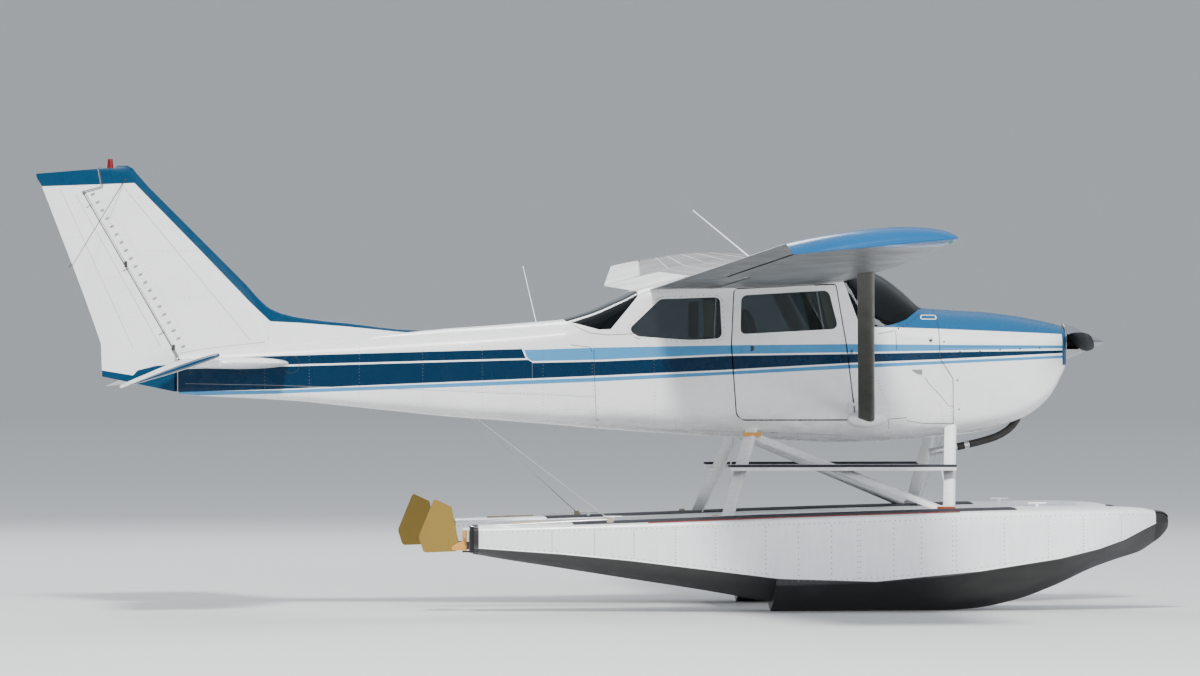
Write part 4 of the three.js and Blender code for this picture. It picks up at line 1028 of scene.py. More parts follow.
def build_glass():
    flush, outer = glass_skin(6.0), glass_skin(1.5)
    for outline, name, body in (
        (DOOR_WINDOW, "door_window", "door_{side}"),
        (SIDE_WINDOW, "side_window", "airframe"),
    ):
        pane = common(copy_of(flush), through(grown(outline, -0.5), -1))
        finish_pair(pane, name + "_pane", "clear_glazing", GLASS, (name,), body)
    for outline, name, ahead in ((WINDSHIELD, "windshield", 1.0), (REAR_WINDOW, "rear_window", 0.0)):
        pane = common(copy_of(outer), through(grown(outline, -1.0)))
        cut(pane, centre_section(ahead, 1.0 - ahead))
        finish_piece(pane, name + "_pane", "clear_glazing", DARK_GLASS, (name,))
    drop(flush, outer)


CONE_SHEET = 14.0
CONE_END = 60.0  # thickness of the cone's closed rear end


def build_cone():
    cone = body_solid(CONE_ROWS, 0.0, SEAT_GAP, 0.0)
    cut(cone, body_solid(CONE_ROWS, CONE_SHEET, -20.0, CONE_END))
    finish_piece(cone, "tailcone_skin", "white_skin", LIVERY, ("tailcone",))


COWL_SHEET = 9.0
COWL_STEP = 30.0
COWL_X = (1500.0, 2800.0)
SHAFT_HOLE = 80.0
INTAKE_Y, INTAKE_RADIUS, INTAKE_RISE = 185.0, 46.0, 5.0
CHIN_INTAKE = ((2560, 2800), (-75, 75), (1842, 1905))
EXHAUST_HOLE = ((2190, 2400), (-220, -80), (1200, 1600))


def build_cowl():
    cowl = body_solid(BODY_ROWS, 0.0, 0.0, 0.0, COWL_STEP)
    cut(cowl, body_solid(BODY_ROWS, COWL_SHEET, None, None, COWL_STEP))
    common(cowl, through(ahead_of_edge(2.0)))
    cut(cowl, rod((2500, 0, THRUST_Z), (COWL_X[1], 0, THRUST_Z), SHAFT_HOLE, sides=48))
    for y in (-INTAKE_Y, INTAKE_Y):
        z = THRUST_Z + INTAKE_RISE
        cut(cowl, rod((2560, y, z), (COWL_X[1], y, z), INTAKE_RADIUS, sides=36))
    cut(cowl, box(*CHIN_INTAKE), box(*EXHAUST_HOLE))
    lower = common(copy_of(cowl), box(COWL_X, (-BEYOND, BEYOND), (BELOW, SPLIT_Z - SPLIT_GAP)))
    common(cowl, box(COWL_X, (-BEYOND, BEYOND), (SPLIT_Z + SPLIT_GAP, ABOVE)))
    finish_piece(cowl, "cowl_upper_skin", "blue_skin", LIVERY, ("cowl_upper",))
    finish_piece(lower, "cowl_lower_skin", "white_skin", LIVERY, ("cowl_lower",))


# Tail

# Columns: z, leading edge x, trailing edge x, half thickness
FIN_ROWS = [
    (1640, -3330, -4700, 50),
    (2000, -3330, -4712, 50),
    (2163, -3437, -4768, 48),
    (2444, -3613, -4870, 44),
    (3190, -4358, -5158, 30),
    (3275, -4433, -5200, 27),
    (3297, -4452, -5200, 26),
    (3325, -4474, -5195, 20),
    (3346, -4515, -5188, 10),
]
TAIL_TOP = [(-5400, 3266), (-4670, 3326.5), (-4612, 3326.5), (-4605, 3331), (-4585, 3350), (-3000, 3350),
            (-3000, 1500), (-5400, 1500)]
RUDDER_TOP = (-4850.0, 3130.0)
RUDDER_FOOT = (-4151.0, 1899.0)
RUDDER_SLOPE = (RUDDER_FOOT[0] - RUDDER_TOP[0]) / (RUDDER_TOP[1] - RUDDER_FOOT[1])
HORN_Z = 3150.0
HORN_TOP_Z = 3190.0
TAIL_SIDES = (-200, 200)
RUDDER_NOSE = (36.0, 22.0)
RUDDER_ARMS = (2080, 2560, 3040)

# Columns: y, leading edge x, trailing edge x, thickness
SIDE_TAIL_ROWS = [
    (20, -3262, -4600, 92),
    (1500, -3755, -4655, 56),
    (1640, -3820, -4652, 50),
    (1720, -3925, -4600, 16),
]
SIDE_TAIL_Z = (1600.0, 2100.0)
ELEVATOR_X, ELEVATOR_Z = -4098.0, 1855.0
ELEVATOR_DROOP = 19.0
ELEVATOR_NOSE = (34.0, 27.0)
ELEVATOR_ROOT = -120.0
ELEVATOR_ARMS = (-260, -900, -1440)
HORN_Y, HORN_X = -1520.0, -3898.0
ELEVATOR_BLUE_Y = 1668.0


def rudder_place(z, back=0.0):
    """Place on the rudder's hinge line, or a distance behind it."""
    return (RUDDER_FOOT[0] - (z - RUDDER_FOOT[1]) * RUDDER_SLOPE - back, 0, z)


def fin_surface():
    section = aerofoil_loop(1, 0)
    rows = FIN_ROWS[:-5] + [tuple(r) for r in smooth_rows(FIN_ROWS[-5:], 10.0)]
    surface = loft([
        [(front + (rear - front) * x, y * 2 * half, z) for x, y in section] for z, front, rear, half in rows
    ])
    return common(surface, prism(TAIL_TOP, -100, 100, "y"))


def build_vertical_tail():
    edge = [(-4133, 1600), (-4140, 1880), (rudder_place(1960, 2)[0], 1960), (rudder_place(HORN_Z)[0], HORN_Z),
            (-4716, HORN_TOP_Z), (-4756, 3400)]
    behind = [(-5400, 3400), (-5400, 1600)]
    surface = fin_surface()
    rudder = common(copy_of(surface), prism(edge + behind, *TAIL_SIDES, "y"))
    underside = [(-4133, 1634), (-4721, 1757), (-5400, 1900), (-5400, 3400), (-4000, 3400), (-4000, 1634)]
    common(rudder, prism(underside, *TAIL_SIDES, "y"))
    nose = [(-4138, 0), (-4146, 14), (-4164, 40), (-4164, 200), (-5400, 200), (-5400, -200), (-4164, -200),
            (-4164, -40), (-4146, -14)]
    trim = prism(nose, 1500, 1935, "z")
    join(trim, box((-5400, -3900), TAIL_SIDES, (1935, 3500)))
    common(rudder, trim)
    gap = [(x + BAY_GAP, z - (CLEAR if z in (HORN_Z, HORN_TOP_Z) else 0)) for x, z in edge]
    fin = cut(copy_of(surface), prism(gap + behind, *TAIL_SIDES, "y"))
    along = Vector(rudder_place(RUDDER_TOP[1])) - Vector(rudder_place(RUDDER_FOOT[1]))
    nose_rod = rod(rudder_place(1965), rudder_place(3120), *RUDDER_NOSE, NOSE_SIDES)
    join(rudder, common(nose_rod, surface, keep=True))
    cut(fin, rod(rudder_place(1870), rudder_place(HORN_Z), *(r + BAY_GAP for r in RUDDER_NOSE), NOSE_SIDES))
    for z in RUDDER_ARMS:
        cut(rudder, hinge_slot(rudder_place(z), along, 110, 200, 28))
        join(fin, hinge_arm(rudder_place(z), along, 74, 27))
    join(fin, dorsal_fillet())
    cut(fin, body_solid(CONE_ROWS, -SEAT_GAP, 0, 0), box((-5400, -3000), TAIL_SIDES, (1500, 1900)))
    finish_piece(fin, "fin_skin", "white_skin", tail_paint("fin_paint"), ("fin",))
    paint = tail_paint("rudder_paint", RUDDER_LOW_LINE)
    finish_piece(rudder, "rudder_skin", "white_skin", paint, ("rudder",), "rudder")
    drop(surface)


DORSAL_LINE = [(-2200, 2098), (-2450, 2110), (-2860, 2160), (-3058, 2180), (-3194, 2199), (-3361, 2237),
               (-3436, 2268), (-3505, 2325), (-3545, 2366), (-3584, 2411), (-3640, 2468)]
DORSAL_FOOT_Z = 1960.0
DORSAL_GROWTH = 1100.0  # length over which the ridge reaches its full width
DORSAL_TAPER = 204.0  # length over which its rear end thins out
DORSAL_CREST = 16.0


def dorsal_fillet():
    """The low fillet ahead of the fin: a rounded ridge that widens to its foot."""
    rings = []
    front, rear = DORSAL_LINE[0][0], DORSAL_LINE[-1][0]
    for x, top in smooth_rows(DORSAL_LINE, 30.0):
        t = min(1.0, max(0.05, (front - x) / DORSAL_GROWTH))
        thin = min(1.0, max(0.25, 0.25 + 0.75 * (x - rear) / DORSAL_TAPER))
        half, flare = (6 + 22 * t) * thin, 10 * t
        arc = [math.pi * k / 12 for k in range(13)]
        ring = [(x, -half * math.cos(a), top - DORSAL_CREST * (1 - math.sin(a))) for a in arc]
        rings.append(ring + [(x, half + flare, DORSAL_FOOT_Z), (x, -half - flare, DORSAL_FOOT_Z)])
    return loft(rings)


# Lower edge of the fin's cap, inner edge of its leading band and lower edge of the dorsal's blue
TAIL_BLUE_LINE = [(-5154, 3187), (-4741, 3202), (-4462, 3214), (-3965, 2706), (-3588, 2314), (-3437, 2170),
                  (-3209, 2159), (-2860, 2132), (-2450, 2091), (-2150, 2074)]
RUDDER_LOW_LINE = [(-4800, 1816), (-4623, 1787), (-4470, 1762), (-4440, 1800), (-4300, 1835), (-4100, 1850)]


def tail_paint(name, below=None):
    """White, with blue above the tail's line and below another."""
    shader = Shader(name)
    x, _, z = shader.axes()
    blue = shader.step_at(z, stripe_line(shader, x, TAIL_BLUE_LINE, TAIL_SPAN))
    if below:
        low = shader.without(shader.step_at(z, stripe_line(shader, x, below, TAIL_SPAN)))
        blue = shader.either(blue, low)
    color = shader.mix(blue, clouded(shader, WHITE, 0.96, 1.015), TAIL_BLUE)
    return two_tone(shader, color, blue, 0.1, (0.22, 0.36), 0.0012, (0.1, 0.08))


def side_tail_paint(name, edge):
    """White, with blue outboard of a y place on both sides."""
    shader = Shader(name)
    blue = shader.step_at(shader.math("ABSOLUTE", shader.axes()[1]), edge * MM)
    color = shader.mix(blue, clouded(shader, WHITE, 0.96, 1.015), TAIL_BLUE)
    return two_tone(shader, color, blue, 0.12, (0.24, 0.36), 0.0012)


def build_side_tail():
    section = aerofoil_loop(1, 0)
    rows = SIDE_TAIL_ROWS[:2] + [tuple(r) for r in smooth_rows(SIDE_TAIL_ROWS[1:], 16.0)[1:]]
    surface = loft([
        [(front + (rear - front) * x, -y, ELEVATOR_Z + z * thickness) for x, z in section]
        for y, front, rear, thickness in rows
    ])
    plan = [(ELEVATOR_X, ELEVATOR_ROOT), (ELEVATOR_X, HORN_Y), (HORN_X, HORN_Y), (HORN_X, -1800),
            (-4900, -1800), (-4900, -270), (-4560, -230)]
    gap = [(ELEVATOR_X - 1, 0), (ELEVATOR_X - 1, HORN_Y + CLEAR), (HORN_X + CLEAR, HORN_Y + CLEAR),
           (HORN_X + CLEAR, -1800), (-4900, -1800), (-4900, 0)]

    def axis(y):
        return (ELEVATOR_X, y, ELEVATOR_Z)

    elevator = common(copy_of(surface), prism(plan, *SIDE_TAIL_Z, "z"))
    join(elevator, rod(axis(ELEVATOR_ROOT), axis(HORN_Y), *ELEVATOR_NOSE, NOSE_SIDES))
    stabilizer = cut(surface, prism(gap, *SIDE_TAIL_Z, "z"))
    cut(stabilizer, rod(axis(0), axis(HORN_Y + CLEAR), *(r + BAY_GAP for r in ELEVATOR_NOSE), NOSE_SIDES))
    for y in ELEVATOR_ARMS:
        cut(elevator, hinge_slot(axis(y), (0, 1, 0), 116, 200, 30))
        join(stabilizer, hinge_arm(axis(y), (0, 1, 0), 78, 29))
    cut(stabilizer, body_solid(CONE_ROWS, -SEAT_GAP, 0, 0))
    turn_about(elevator, axis(0), -ELEVATOR_DROOP, "Y")
    finish_pair(stabilizer, "stabilizer_skin", "white_skin", WHITE_PAINT, ("stabilizer",))
    paint = side_tail_paint("elevator_paint", ELEVATOR_BLUE_Y)
    finish_pair(elevator, "elevator_skin", "white_skin", paint, ("elevator",), "elevator")


# Floats

BOW = (505, 645, 118, 728, 108)
# Columns: x, keel z, chine z, chine half width, deck edge z, deck half width
FORE_ROWS = [
    (3160, *BOW),
    (3060, 440, 603, 170, 746, 156),
    (2900, 388, 526, 222, 756, 205),
    (2700, 318, 460, 268, 761, 245),
    (2400, 182, 390, 308, 759, 278),
    (2100, 75, 345, 325, 753, 293),
    (1780, 14, 297, 330, 746, 300),
    (1500, 0, 262, 330, 739, 300),
    (1000, 0, 222, 330, 725, 300),
    (250, 0, 190, 330, 703, 298),
]
AFT_ROWS = [
    (270, 66, 246, 326, 703, 297),
    (-300, 166, 318, 318, 681, 288),
    (-850, 252, 385, 285, 662, 258),
    (-1370, 335, 435, 226, 646, 205),
    (-1760, 396, 462, 160, 636, 145),
    (-1984, 436, 477, 108, 631, 100),
]
BUMPER_ROWS = [
    (3160.3, *BOW),
    (3205, 536, 650, 98, 725, 90),
    (3248, 580, 655, 62, 712, 56),
    (3273, 618, 657, 22, 690, 20),
]
STEP_X = 260.0  # middle of the step, where the hull's fore and aft parts meet
STERN_X = -2008.0
STERN_BOX = (STERN_X, STERN_X + 60), (-FLOAT_Y - 30, -FLOAT_Y + 30), (445, 640)
POST_X = -2046.0
POST_RADIUS = 17.0
POST_LUGS = ((612, 630), (447, 459))
CLEATS = ((-922, 670), (2300, 765))
CLEAT_Y = -FLOAT_Y + 140
DECK_CROWN = 20.0
DECK_ROUND = 26.0


def float_wall(chine, chine_half, deck, deck_half):
    """Half width and height of a float's side at its foot and at its top."""
    return (chine_half - 8, chine + 12), (deck_half, deck - DECK_ROUND)


def hull_ring(row, grow=0.0):
    x, keel, chine, chine_half, deck, deck_half = row
    right = [(0, keel - grow)]
    for t in (k / 6 for k in range(1, 6)):  # the bottom is hollow between keel and chine
        right.append((chine_half * t, keel + (chine - keel) * (t - 0.09 * math.sin(math.pi * t)) - grow))
    low, high = float_wall(*row[2:])
    right += [(chine_half + grow, chine - grow), (low[0] + grow, low[1])]
    for t in (0.25, 0.5, 0.75):
        right.append((low[0] + (high[0] - low[0]) * t + grow, low[1] + (high[1] - low[1]) * t))
    for angle in (math.pi / 2 * k / 4 for k in range(5)):
        y = deck_half - DECK_ROUND * (1 - math.cos(angle)) + grow
        right.append((y, deck - DECK_ROUND * (1 - math.sin(angle)) + grow * math.sin(angle)))
    right += [(deck_half * t, deck + DECK_CROWN * (1 - t * t) + grow) for t in (0.8, 0.55, 0.3, 0)]
    left = [(-y, z) for y, z in reversed(right[1:-1])]
    return [(x, -FLOAT_Y - y, z) for y, z in right + left]


def hull_solid(rows, grow=0.0, step=60.0):
    return loft([hull_ring(row, grow) for row in smooth_rows(rows, step)])


# The paint's edge: x and z, close to the chine
HULL_LINE = [(-1984, 477), (-1760, 462), (-1370, 435), (-850, 385), (-300, 318), (270, 246), (1000, 222),
             (1780, 297), (2400, 390), (2700, 460), (2900, 526), (3060, 603), (3160, 645), (3273, 680)]


def float_paint():
    """Bare sheet above the chine, black bottom below it."""
    shader = Shader("float_paint")
    x, _, z = shader.axes()
    line = stripe_line(shader, x, HULL_LINE, HULL_SPAN)
    above = shader.step_at(z, shader.math("ADD", line, HULL_LINE_RISE * MM), 0.0015)
    streaks = shader.noise(10.0, (3, 1, 0.5), 6.0, 0.65)
    clouds = shader.noise(3.0, (1, 1, 2), 5.0, 0.6)
    metal = shader.mix(shader.ramp(streaks, 0.35, 0.7), (0.84, 0.86, 0.88), (0.93, 0.94, 0.95))
    metal = shader.mix(shader.ramp(clouds, 0.52, 0.75, 0.0, 0.35), metal, (0.74, 0.75, 0.76))
    black = shader.mix(shader.ramp(clouds, 0.5, 0.75, 0.0, 0.5), HULL_BLACK, (0.05, 0.05, 0.048))
    shader.set(Base_Color=shader.mix(above, black, metal), Metallic=shader.ramp(above, 0, 1, 0, 0.2))
    shader.set(Roughness=shader.ramp(clouds, 0.35, 0.7, 0.34, 0.5))
    shader.bump(shader.noise(2.6, EVEN, 2.0), 0.5, 0.004)
    return shader.material


def build_floats():
    hull = hull_solid(FORE_ROWS)
    join(hull, hull_solid(AFT_ROWS), box(*STERN_BOX))
    for low, high in POST_LUGS:
        lug = box((POST_X, STERN_X + 10), (-FLOAT_Y - POST_RADIUS, -FLOAT_Y + POST_RADIUS), (low, high))
        join(hull, lug, rod((POST_X, -FLOAT_Y, low), (POST_X, -FLOAT_Y, high), POST_RADIUS))
    for x, z in CLEATS:
        join(hull, box((x - 12, x + 12), (CLEAT_Y - 8, CLEAT_Y + 8), (z - 15, z + 34)))
        join(hull, rod((x - 70, CLEAT_Y, z + 34), (x + 70, CLEAT_Y, z + 34), 8, sides=16))
    finish_pair(hull, "float_hull", "float_skin", float_paint(), ("float",), sharp=24)
    bumper = hull_solid(BUMPER_ROWS, 0.0, 9.0)
    finish_pair(bumper, "bow_bumper_rubber", "black_rubber", BLACK_RUBBER, ("bow_bumper",))
    # A rough walkway on the deck and its red edge line
    for name, start, end, inner, outer, material in (
        ("deck_walkway", -1250, 2080, -0.84, 0.84, DECK_GRIT),
        ("deck_line_outer", -700, 1640, 0.87, 0.95, RED_TRIM),
    ):
        strip = [deck_ring(x, inner, outer) for x in np.linspace(start, end, 60)]
        finish_pair(loft(strip), name, "float_skin", material)
    build_water_rudder()


DECK_ROWS = sorted(FORE_ROWS + AFT_ROWS)


def deck_ring(x, inner, outer, high=2.2, thick=4.0):
    """A section of a strip that lies on the deck, between two shares of its half width."""
    *_, deck, half = row_at(DECK_ROWS, x)
    shares = [inner + (outer - inner) * k / 8 for k in range(9)]
    over = [(x, -FLOAT_Y - half * t, deck + DECK_CROWN * (1 - t * t) + high) for t in shares]
    return over + [(px, py, pz - thick) for px, py, pz in reversed(over)]


YOKE_Z = (459.7, 611.3)
YOKE_RADIUS = 16.0
BLADE_PIVOT = (-2120.0, 476.0)
BLADE_HALF = 7.0
BLADE_SHEET = 2.5
CHEEK = 6.0
CHEEK_OUTLINE = rounded(
    [(POST_X, 462), (POST_X, 530), (-2095, 520), (-2142, 490), (-2142, 462)], (0, 0, 14, 12, 12))
BLADE_FRONT = [(-2094, 545), (-2100, 470), (-2116, 455)]
BLADE_OUTLINE = rounded(
    [*BLADE_FRONT, (-2352, 446), (-2389, 565), (-2273, 847), (-2143, 787)], (6, 6, 10, 30, 60, 18, 14))
BLADE_HEEL = [*BLADE_FRONT, (-2170, 453), (-2165, 560)]


def build_water_rudder():
    yoke = rod((POST_X, -FLOAT_Y, YOKE_Z[0]), (POST_X, -FLOAT_Y, YOKE_Z[1]), YOKE_RADIUS, sides=32)
    join(yoke, box((POST_X - 10, POST_X + 6), (-FLOAT_Y - 60, -FLOAT_Y + 60), (555, 575)))
    near, far = BLADE_HALF + 0.7, BLADE_HALF + 0.7 + CHEEK
    for low, high in ((-far, -near), (near, far)):
        join(yoke, prism(CHEEK_OUTLINE, -FLOAT_Y + low, -FLOAT_Y + high, "y"))
    x, z = BLADE_PIVOT
    join(yoke, rod((x, -FLOAT_Y - 18, z), (x, -FLOAT_Y + 18, z), 6))
    nodes = ("water_rudder_yoke",)
    finish_pair(yoke, "water_rudder_fork", "orange_paint", ORANGE, nodes, "water_yoke_{side}")
    blade = prism(BLADE_OUTLINE, -FLOAT_Y - BLADE_SHEET, -FLOAT_Y + BLADE_SHEET, "y")
    join(blade, prism(BLADE_HEEL, -FLOAT_Y - BLADE_HALF, -FLOAT_Y + BLADE_HALF, "y"))
    cut(blade, rod((x, -FLOAT_Y - 40, z), (x, -FLOAT_Y + 40, z), 6.7))
    finish_pair(blade, "water_rudder_blade", "khaki_paint", KHAKI, ("water_rudder",), "water_blade_{side}")


# Struts

def strut_solid(ends, chord, thickness):
    """A streamlined tube between two places."""
    start, end = (Vector(place) for place in ends)
    fore, _, _ = frame_of(end - start)
    across = (end - start).normalized().cross(fore)
    half = []
    for k in range(13):
        angle = math.pi * k / 12
        half.append((math.cos(angle), 0.93 * (math.sin(angle) + 0.35 * math.sin(2 * angle))))
    section = half + [(x, -y) for x, y in reversed(half[1:-1])]
    return loft([
        [place + fore * (x * chord / 2) + across * (y * thickness / 2) for x, y in section]
        for place in (start, end)
    ])


# Each strut's ends, chord and thickness
WING_STRUT = (((1050, -500, 1405), (722, -2570, 2585)), 125, 46)
FLOAT_STRUTS = {
    "float_strut_front": (((1609, -930, 700), (1712, -400, 1420)), 92, 38),
    "float_strut_rear": (((-83, -930, 650), (205, -400, 1420)), 92, 38),
    "float_diagonal": (((1654, -954, 715), (170, -424, 1314)), 62, 30),
}
WING_GAP = 0.3


def build_struts():
    body = body_solid(BODY_ROWS, -SEAT_GAP, 0, 0)
    hull = join(hull_solid(FORE_ROWS, SEAT_GAP), hull_solid(AFT_ROWS, SEAT_GAP))
    wing_strut = cut(strut_solid(*WING_STRUT), wing_solid(WING_ROWS, WING_GAP))
    cut(wing_strut, body, keep=True)
    finish_pair(wing_strut, "wing_strut_tube", "strut_metal", DULL_STRUT, ("wing_strut",))
    for name, (ends, chord, thickness) in FLOAT_STRUTS.items():
        strut = cut(strut_solid(ends, chord, thickness), body, hull, keep=True)
        finish_pair(strut, name + "_tube", "strut_metal", STRUT_METAL, (name,))
    drop(body, hull)
    plank = box((-25, 1690), (-800, -645), (1046, 1088))
    for ends, chord, thickness in FLOAT_STRUTS.values():
        cut(plank, strut_solid(ends, chord + 1, thickness + 1))
    cut(plank, box((-20, 1685), (-795, -650), (1040, 1084)))
    finish_pair(plank, "step_plank_sheet", "bare_skin", PLANK_METAL, ("step_plank",))


# Nose

# Columns: radius, chord, blade angle from the disc, thickness
BLADE_ROWS = [
    (30, 120, 62, 62),
    (150, 128, 47, 42),
    (330, 158, 34, 25),
    (560, 156, 25, 17),
    (800, 132, 19, 12),
    (930, 98, 17, 9),
    (958, 70, 16.3, 7.5),
    (965, 46, 16, 6),
]
HUB_X = (2640.7, 2735.0)
HUB_RADIUS = 68.0
HUB_MIDDLE = (HUB_X[0] + HUB_X[1]) / 2 + 12
SPINNER_BACK = 2652.0
SPINNER_RADIUS = 142.0
SLOT_HALF = (76.0, 58.0)
# Columns: share of the length, share of the radius
SPINNER_SHAPE = [(0, 1), (0.15, 0.86), (0.32, 0.705), (0.42, 0.575), (0.54, 0.43), (0.69, 0.28), (0.82, 0.16),
                 (0.93, 0.065), (1, 0.004)]


def blade_solid():
    section = [(0.5 - t, math.sin(math.pi * t ** 0.8) ** 0.9 + 0.04) for t in (k / 16 for k in range(17))]
    section += [(-0.5 + t / 6, -0.1) for t in range(7)]
    rings = []
    for radius, chord, angle, thickness in smooth_rows(BLADE_ROWS, 22.0):
        pitch = math.radians(angle)
        ring = []
        for c, t in section:
            along, out = c * chord, t * thickness * 0.8
            x = along * math.sin(pitch) + out * math.cos(pitch)
            z = -along * math.cos(pitch) + out * math.sin(pitch)
            ring.append((HUB_MIDDLE + x, -radius, THRUST_Z + z))
        rings.append(ring)
    return loft(rings)


def turned_solid(profile):
    """A solid turned about the thrust line, from radii and x places."""
    return loft([[(x, r * c, THRUST_Z + r * s) for c, s in round_turn(64)] for r, x in profile])


def spinner_solid(radius, back, tip):
    shares = np.linspace(0, 1, 45)
    radii = smooth_through(*zip(*SPINNER_SHAPE), shares)
    return turned_solid([(radius * r, back + (tip - back) * t) for t, r in zip(shares, radii)])


def build_nose():
    blade = blade_solid()
    other = copy_of(blade)
    turn_about(other, (HUB_MIDDLE, 0, THRUST_Z), 180, "X")
    hub = rod((HUB_X[0], 0, THRUST_Z), (HUB_X[1] + 40, 0, THRUST_Z), HUB_RADIUS, sides=48)
    join(hub, blade, other)
    finish_piece(hub, "propeller_blades", "blade_metal", BLADE_BLACK, ("propeller",), "propeller")
    spinner = spinner_solid(SPINNER_RADIUS, SPINNER_BACK, SPINNER_TIP)
    cut(spinner, spinner_solid(SPINNER_RADIUS - 5, SPINNER_BACK - 5, SPINNER_TIP - 40))
    corners = [(-1, -1), (1, -1), (1, 1), (-1, 1)]
    slot = rounded([(HUB_MIDDLE + a * SLOT_HALF[0], THRUST_Z + b * SLOT_HALF[1]) for a, b in corners], 30)
    cut(spinner, prism(slot, -200, -45, "y"), prism(slot, 45, 200, "y"))
    finish_piece(spinner, "spinner_shell", "spinner_metal", POLISHED, ("spinner",), "propeller")
    back = turned_solid([(137, SPINNER_BACK - 6), (141, SPINNER_BACK - 3), (141, SPINNER_BACK + 3)])
    finish_piece(back, "spinner_backplate", "spinner_metal", POLISHED, body="propeller")


for build in (build_body, build_cone, build_cowl, build_glass, build_wing, build_vertical_tail,
              build_side_tail, build_floats, build_struts, build_nose):
    build()


# Cabin fittings

ROOM = WALL + 1.0  # the lining and fittings stay this far inside the outer skin
TRIM = 8.0
FRONT_SEAT_Y = (48.0, 452.0)
BENCH_Y = (12.0, 425.0)
PANEL_FACE = 1170.0
DIAL_Y, DIAL_Z = (-345, -250, -155, -60, 60, 155, 250, 345), (2085, 1985)
DIAL_RADIUS = 42.0
KNOB_Z = 1870.0
WHEEL_X, WHEEL_Y, WHEEL_Z = PANEL_FACE - 188, 235.0, 1915.0
PANEL_BAY = ((1169, 1291), (-BEYOND, BEYOND), (1719, 2152))
# Window posts on the inside: outline in x and z, depth in from the skin
POSTS = [
    ([(-968, 2108), (-905, 2108), (-715, 2345), (-770, 2345)], 12),
    ([(686, 2398), (764, 2398), (830, 2112), (764, 2112)], 44),
    ([(-187, 2330), (-110, 2330), (-110, 2050), (-187, 2050)], 60),
]


def build_lining():
    """Dark trim on the cabin's inner walls, cut for the windows and the doors."""
    lining = cut(body_solid(BODY_ROWS, ROOM, ROOM, ROOM), body_solid(BODY_ROWS, ROOM + 5, 20, 20))
    common(lining, box((-1180, 1560), (-BEYOND, BEYOND), (BELOW, 2800)))
    doors = copy_of(lining)
    cut_openings(lining)
    cut(lining, box(*PANEL_BAY))
    common(doors, through(grown(DOOR, -6), -1))
    cut(doors, through(DOOR_WINDOW, -1))
    finish_piece(lining, "cabin_lining", "dark_panel", LINING)
    finish_pair(doors, "door_lining", "dark_panel", LINING, body="door_{side}")
    posts = Bits()
    for outline, depth in POSTS:
        posts.patch(outline, -depth, depth + 10)
    posts.finish_pair("cabin_posts", "dark_panel", TAN_TRIM)


def build_panel():
    """Hood over the panel, dials and switches on its face, and two control wheels."""
    hood = common(box((PANEL_FACE - 60, 1500), (-470, 470), (2140, 2158)), body_solid(BODY_ROWS, ROOM + TRIM))
    finish_piece(hood, "panel_hood", "dark_panel", DARK_PLASTIC)
    rims, faces, controls = Bits(), Bits(), Bits()
    back = (-1, 0, 0)
    for y in DIAL_Y:
        for z in DIAL_Z:
            rims.dome((PANEL_FACE, y, z), back, DIAL_RADIUS, 5, 24)
            faces.dome((PANEL_FACE - 4, y, z), back, DIAL_RADIUS - 8, 2.5, 24)
            controls.block((PANEL_FACE - 8, PANEL_FACE - 5), (y - 1.5, y + 1.5), (z, z + 26))
    for y in range(-400, 401, 40):
        controls.dome((PANEL_FACE, y, KNOB_Z), back, 9, 16, 12)
    for y in (-WHEEL_Y, WHEEL_Y):
        controls.rod((PANEL_FACE, y, WHEEL_Z), (PANEL_FACE - 180, y, WHEEL_Z), 12, sides=16)
        controls.block((PANEL_FACE - 200, PANEL_FACE - 175), (y - 110, y + 110), (WHEEL_Z - 10, WHEEL_Z + 15))
        for end in (-1, 1):
            horn = (WHEEL_X, y + end * 110, WHEEL_Z - 10), (WHEEL_X, y + end * 128, WHEEL_Z + 95)
            controls.rod(*horn, 13, sides=16)
    rims.finish("dial_rims", "dark_panel", DARK_PLASTIC)
    faces.finish("dial_faces", "dark_panel", LINING)
    controls.finish("cabin_controls", "dark_panel", SEAM_GREY)


CUSHION_RIM = 34.0
CUSHION_SWELL = 16.0
CUSHION_VOXEL = 0.011
CUSHION_PRESSURE = 4.0
CUSHION_FRAMES = 20
HELD_POINTS = 12


def places_of(mesh):
    places = np.empty(len(mesh.vertices) * 3)
    mesh.vertices.foreach_get("co", places)
    return places.reshape(-1, 3)


def swell_up(piece):
    """Swells a block by cloth pressure, no point moving further than the swell."""
    before = places_of(piece.data)
    held = piece.vertex_groups.new(name="held")
    spread = np.linalg.norm(before - before.mean(axis=0), axis=1)
    held.add([int(i) for i in np.argsort(spread)[-HELD_POINTS:]], 1.0, "REPLACE")
    cloth = piece.modifiers.new("cloth", "CLOTH").settings
    cloth.use_pressure = True
    cloth.uniform_pressure_force = CUSHION_PRESSURE
    cloth.effector_weights.gravity = 0.0
    cloth.vertex_group_mass = "held"
    for number in range(1, CUSHION_FRAMES + 1):
        bpy.context.scene.frame_set(number)
    baked(piece)
    bpy.context.scene.frame_set(1)
    moved = places_of(piece.data) - before
    length = np.linalg.norm(moved, axis=1, keepdims=True)
    moved *= np.minimum(1.0, CUSHION_SWELL * MM / np.maximum(length, 1e-9))
    piece.data.vertices.foreach_set("co", (before + moved).ravel())
    piece.vertex_groups.clear()


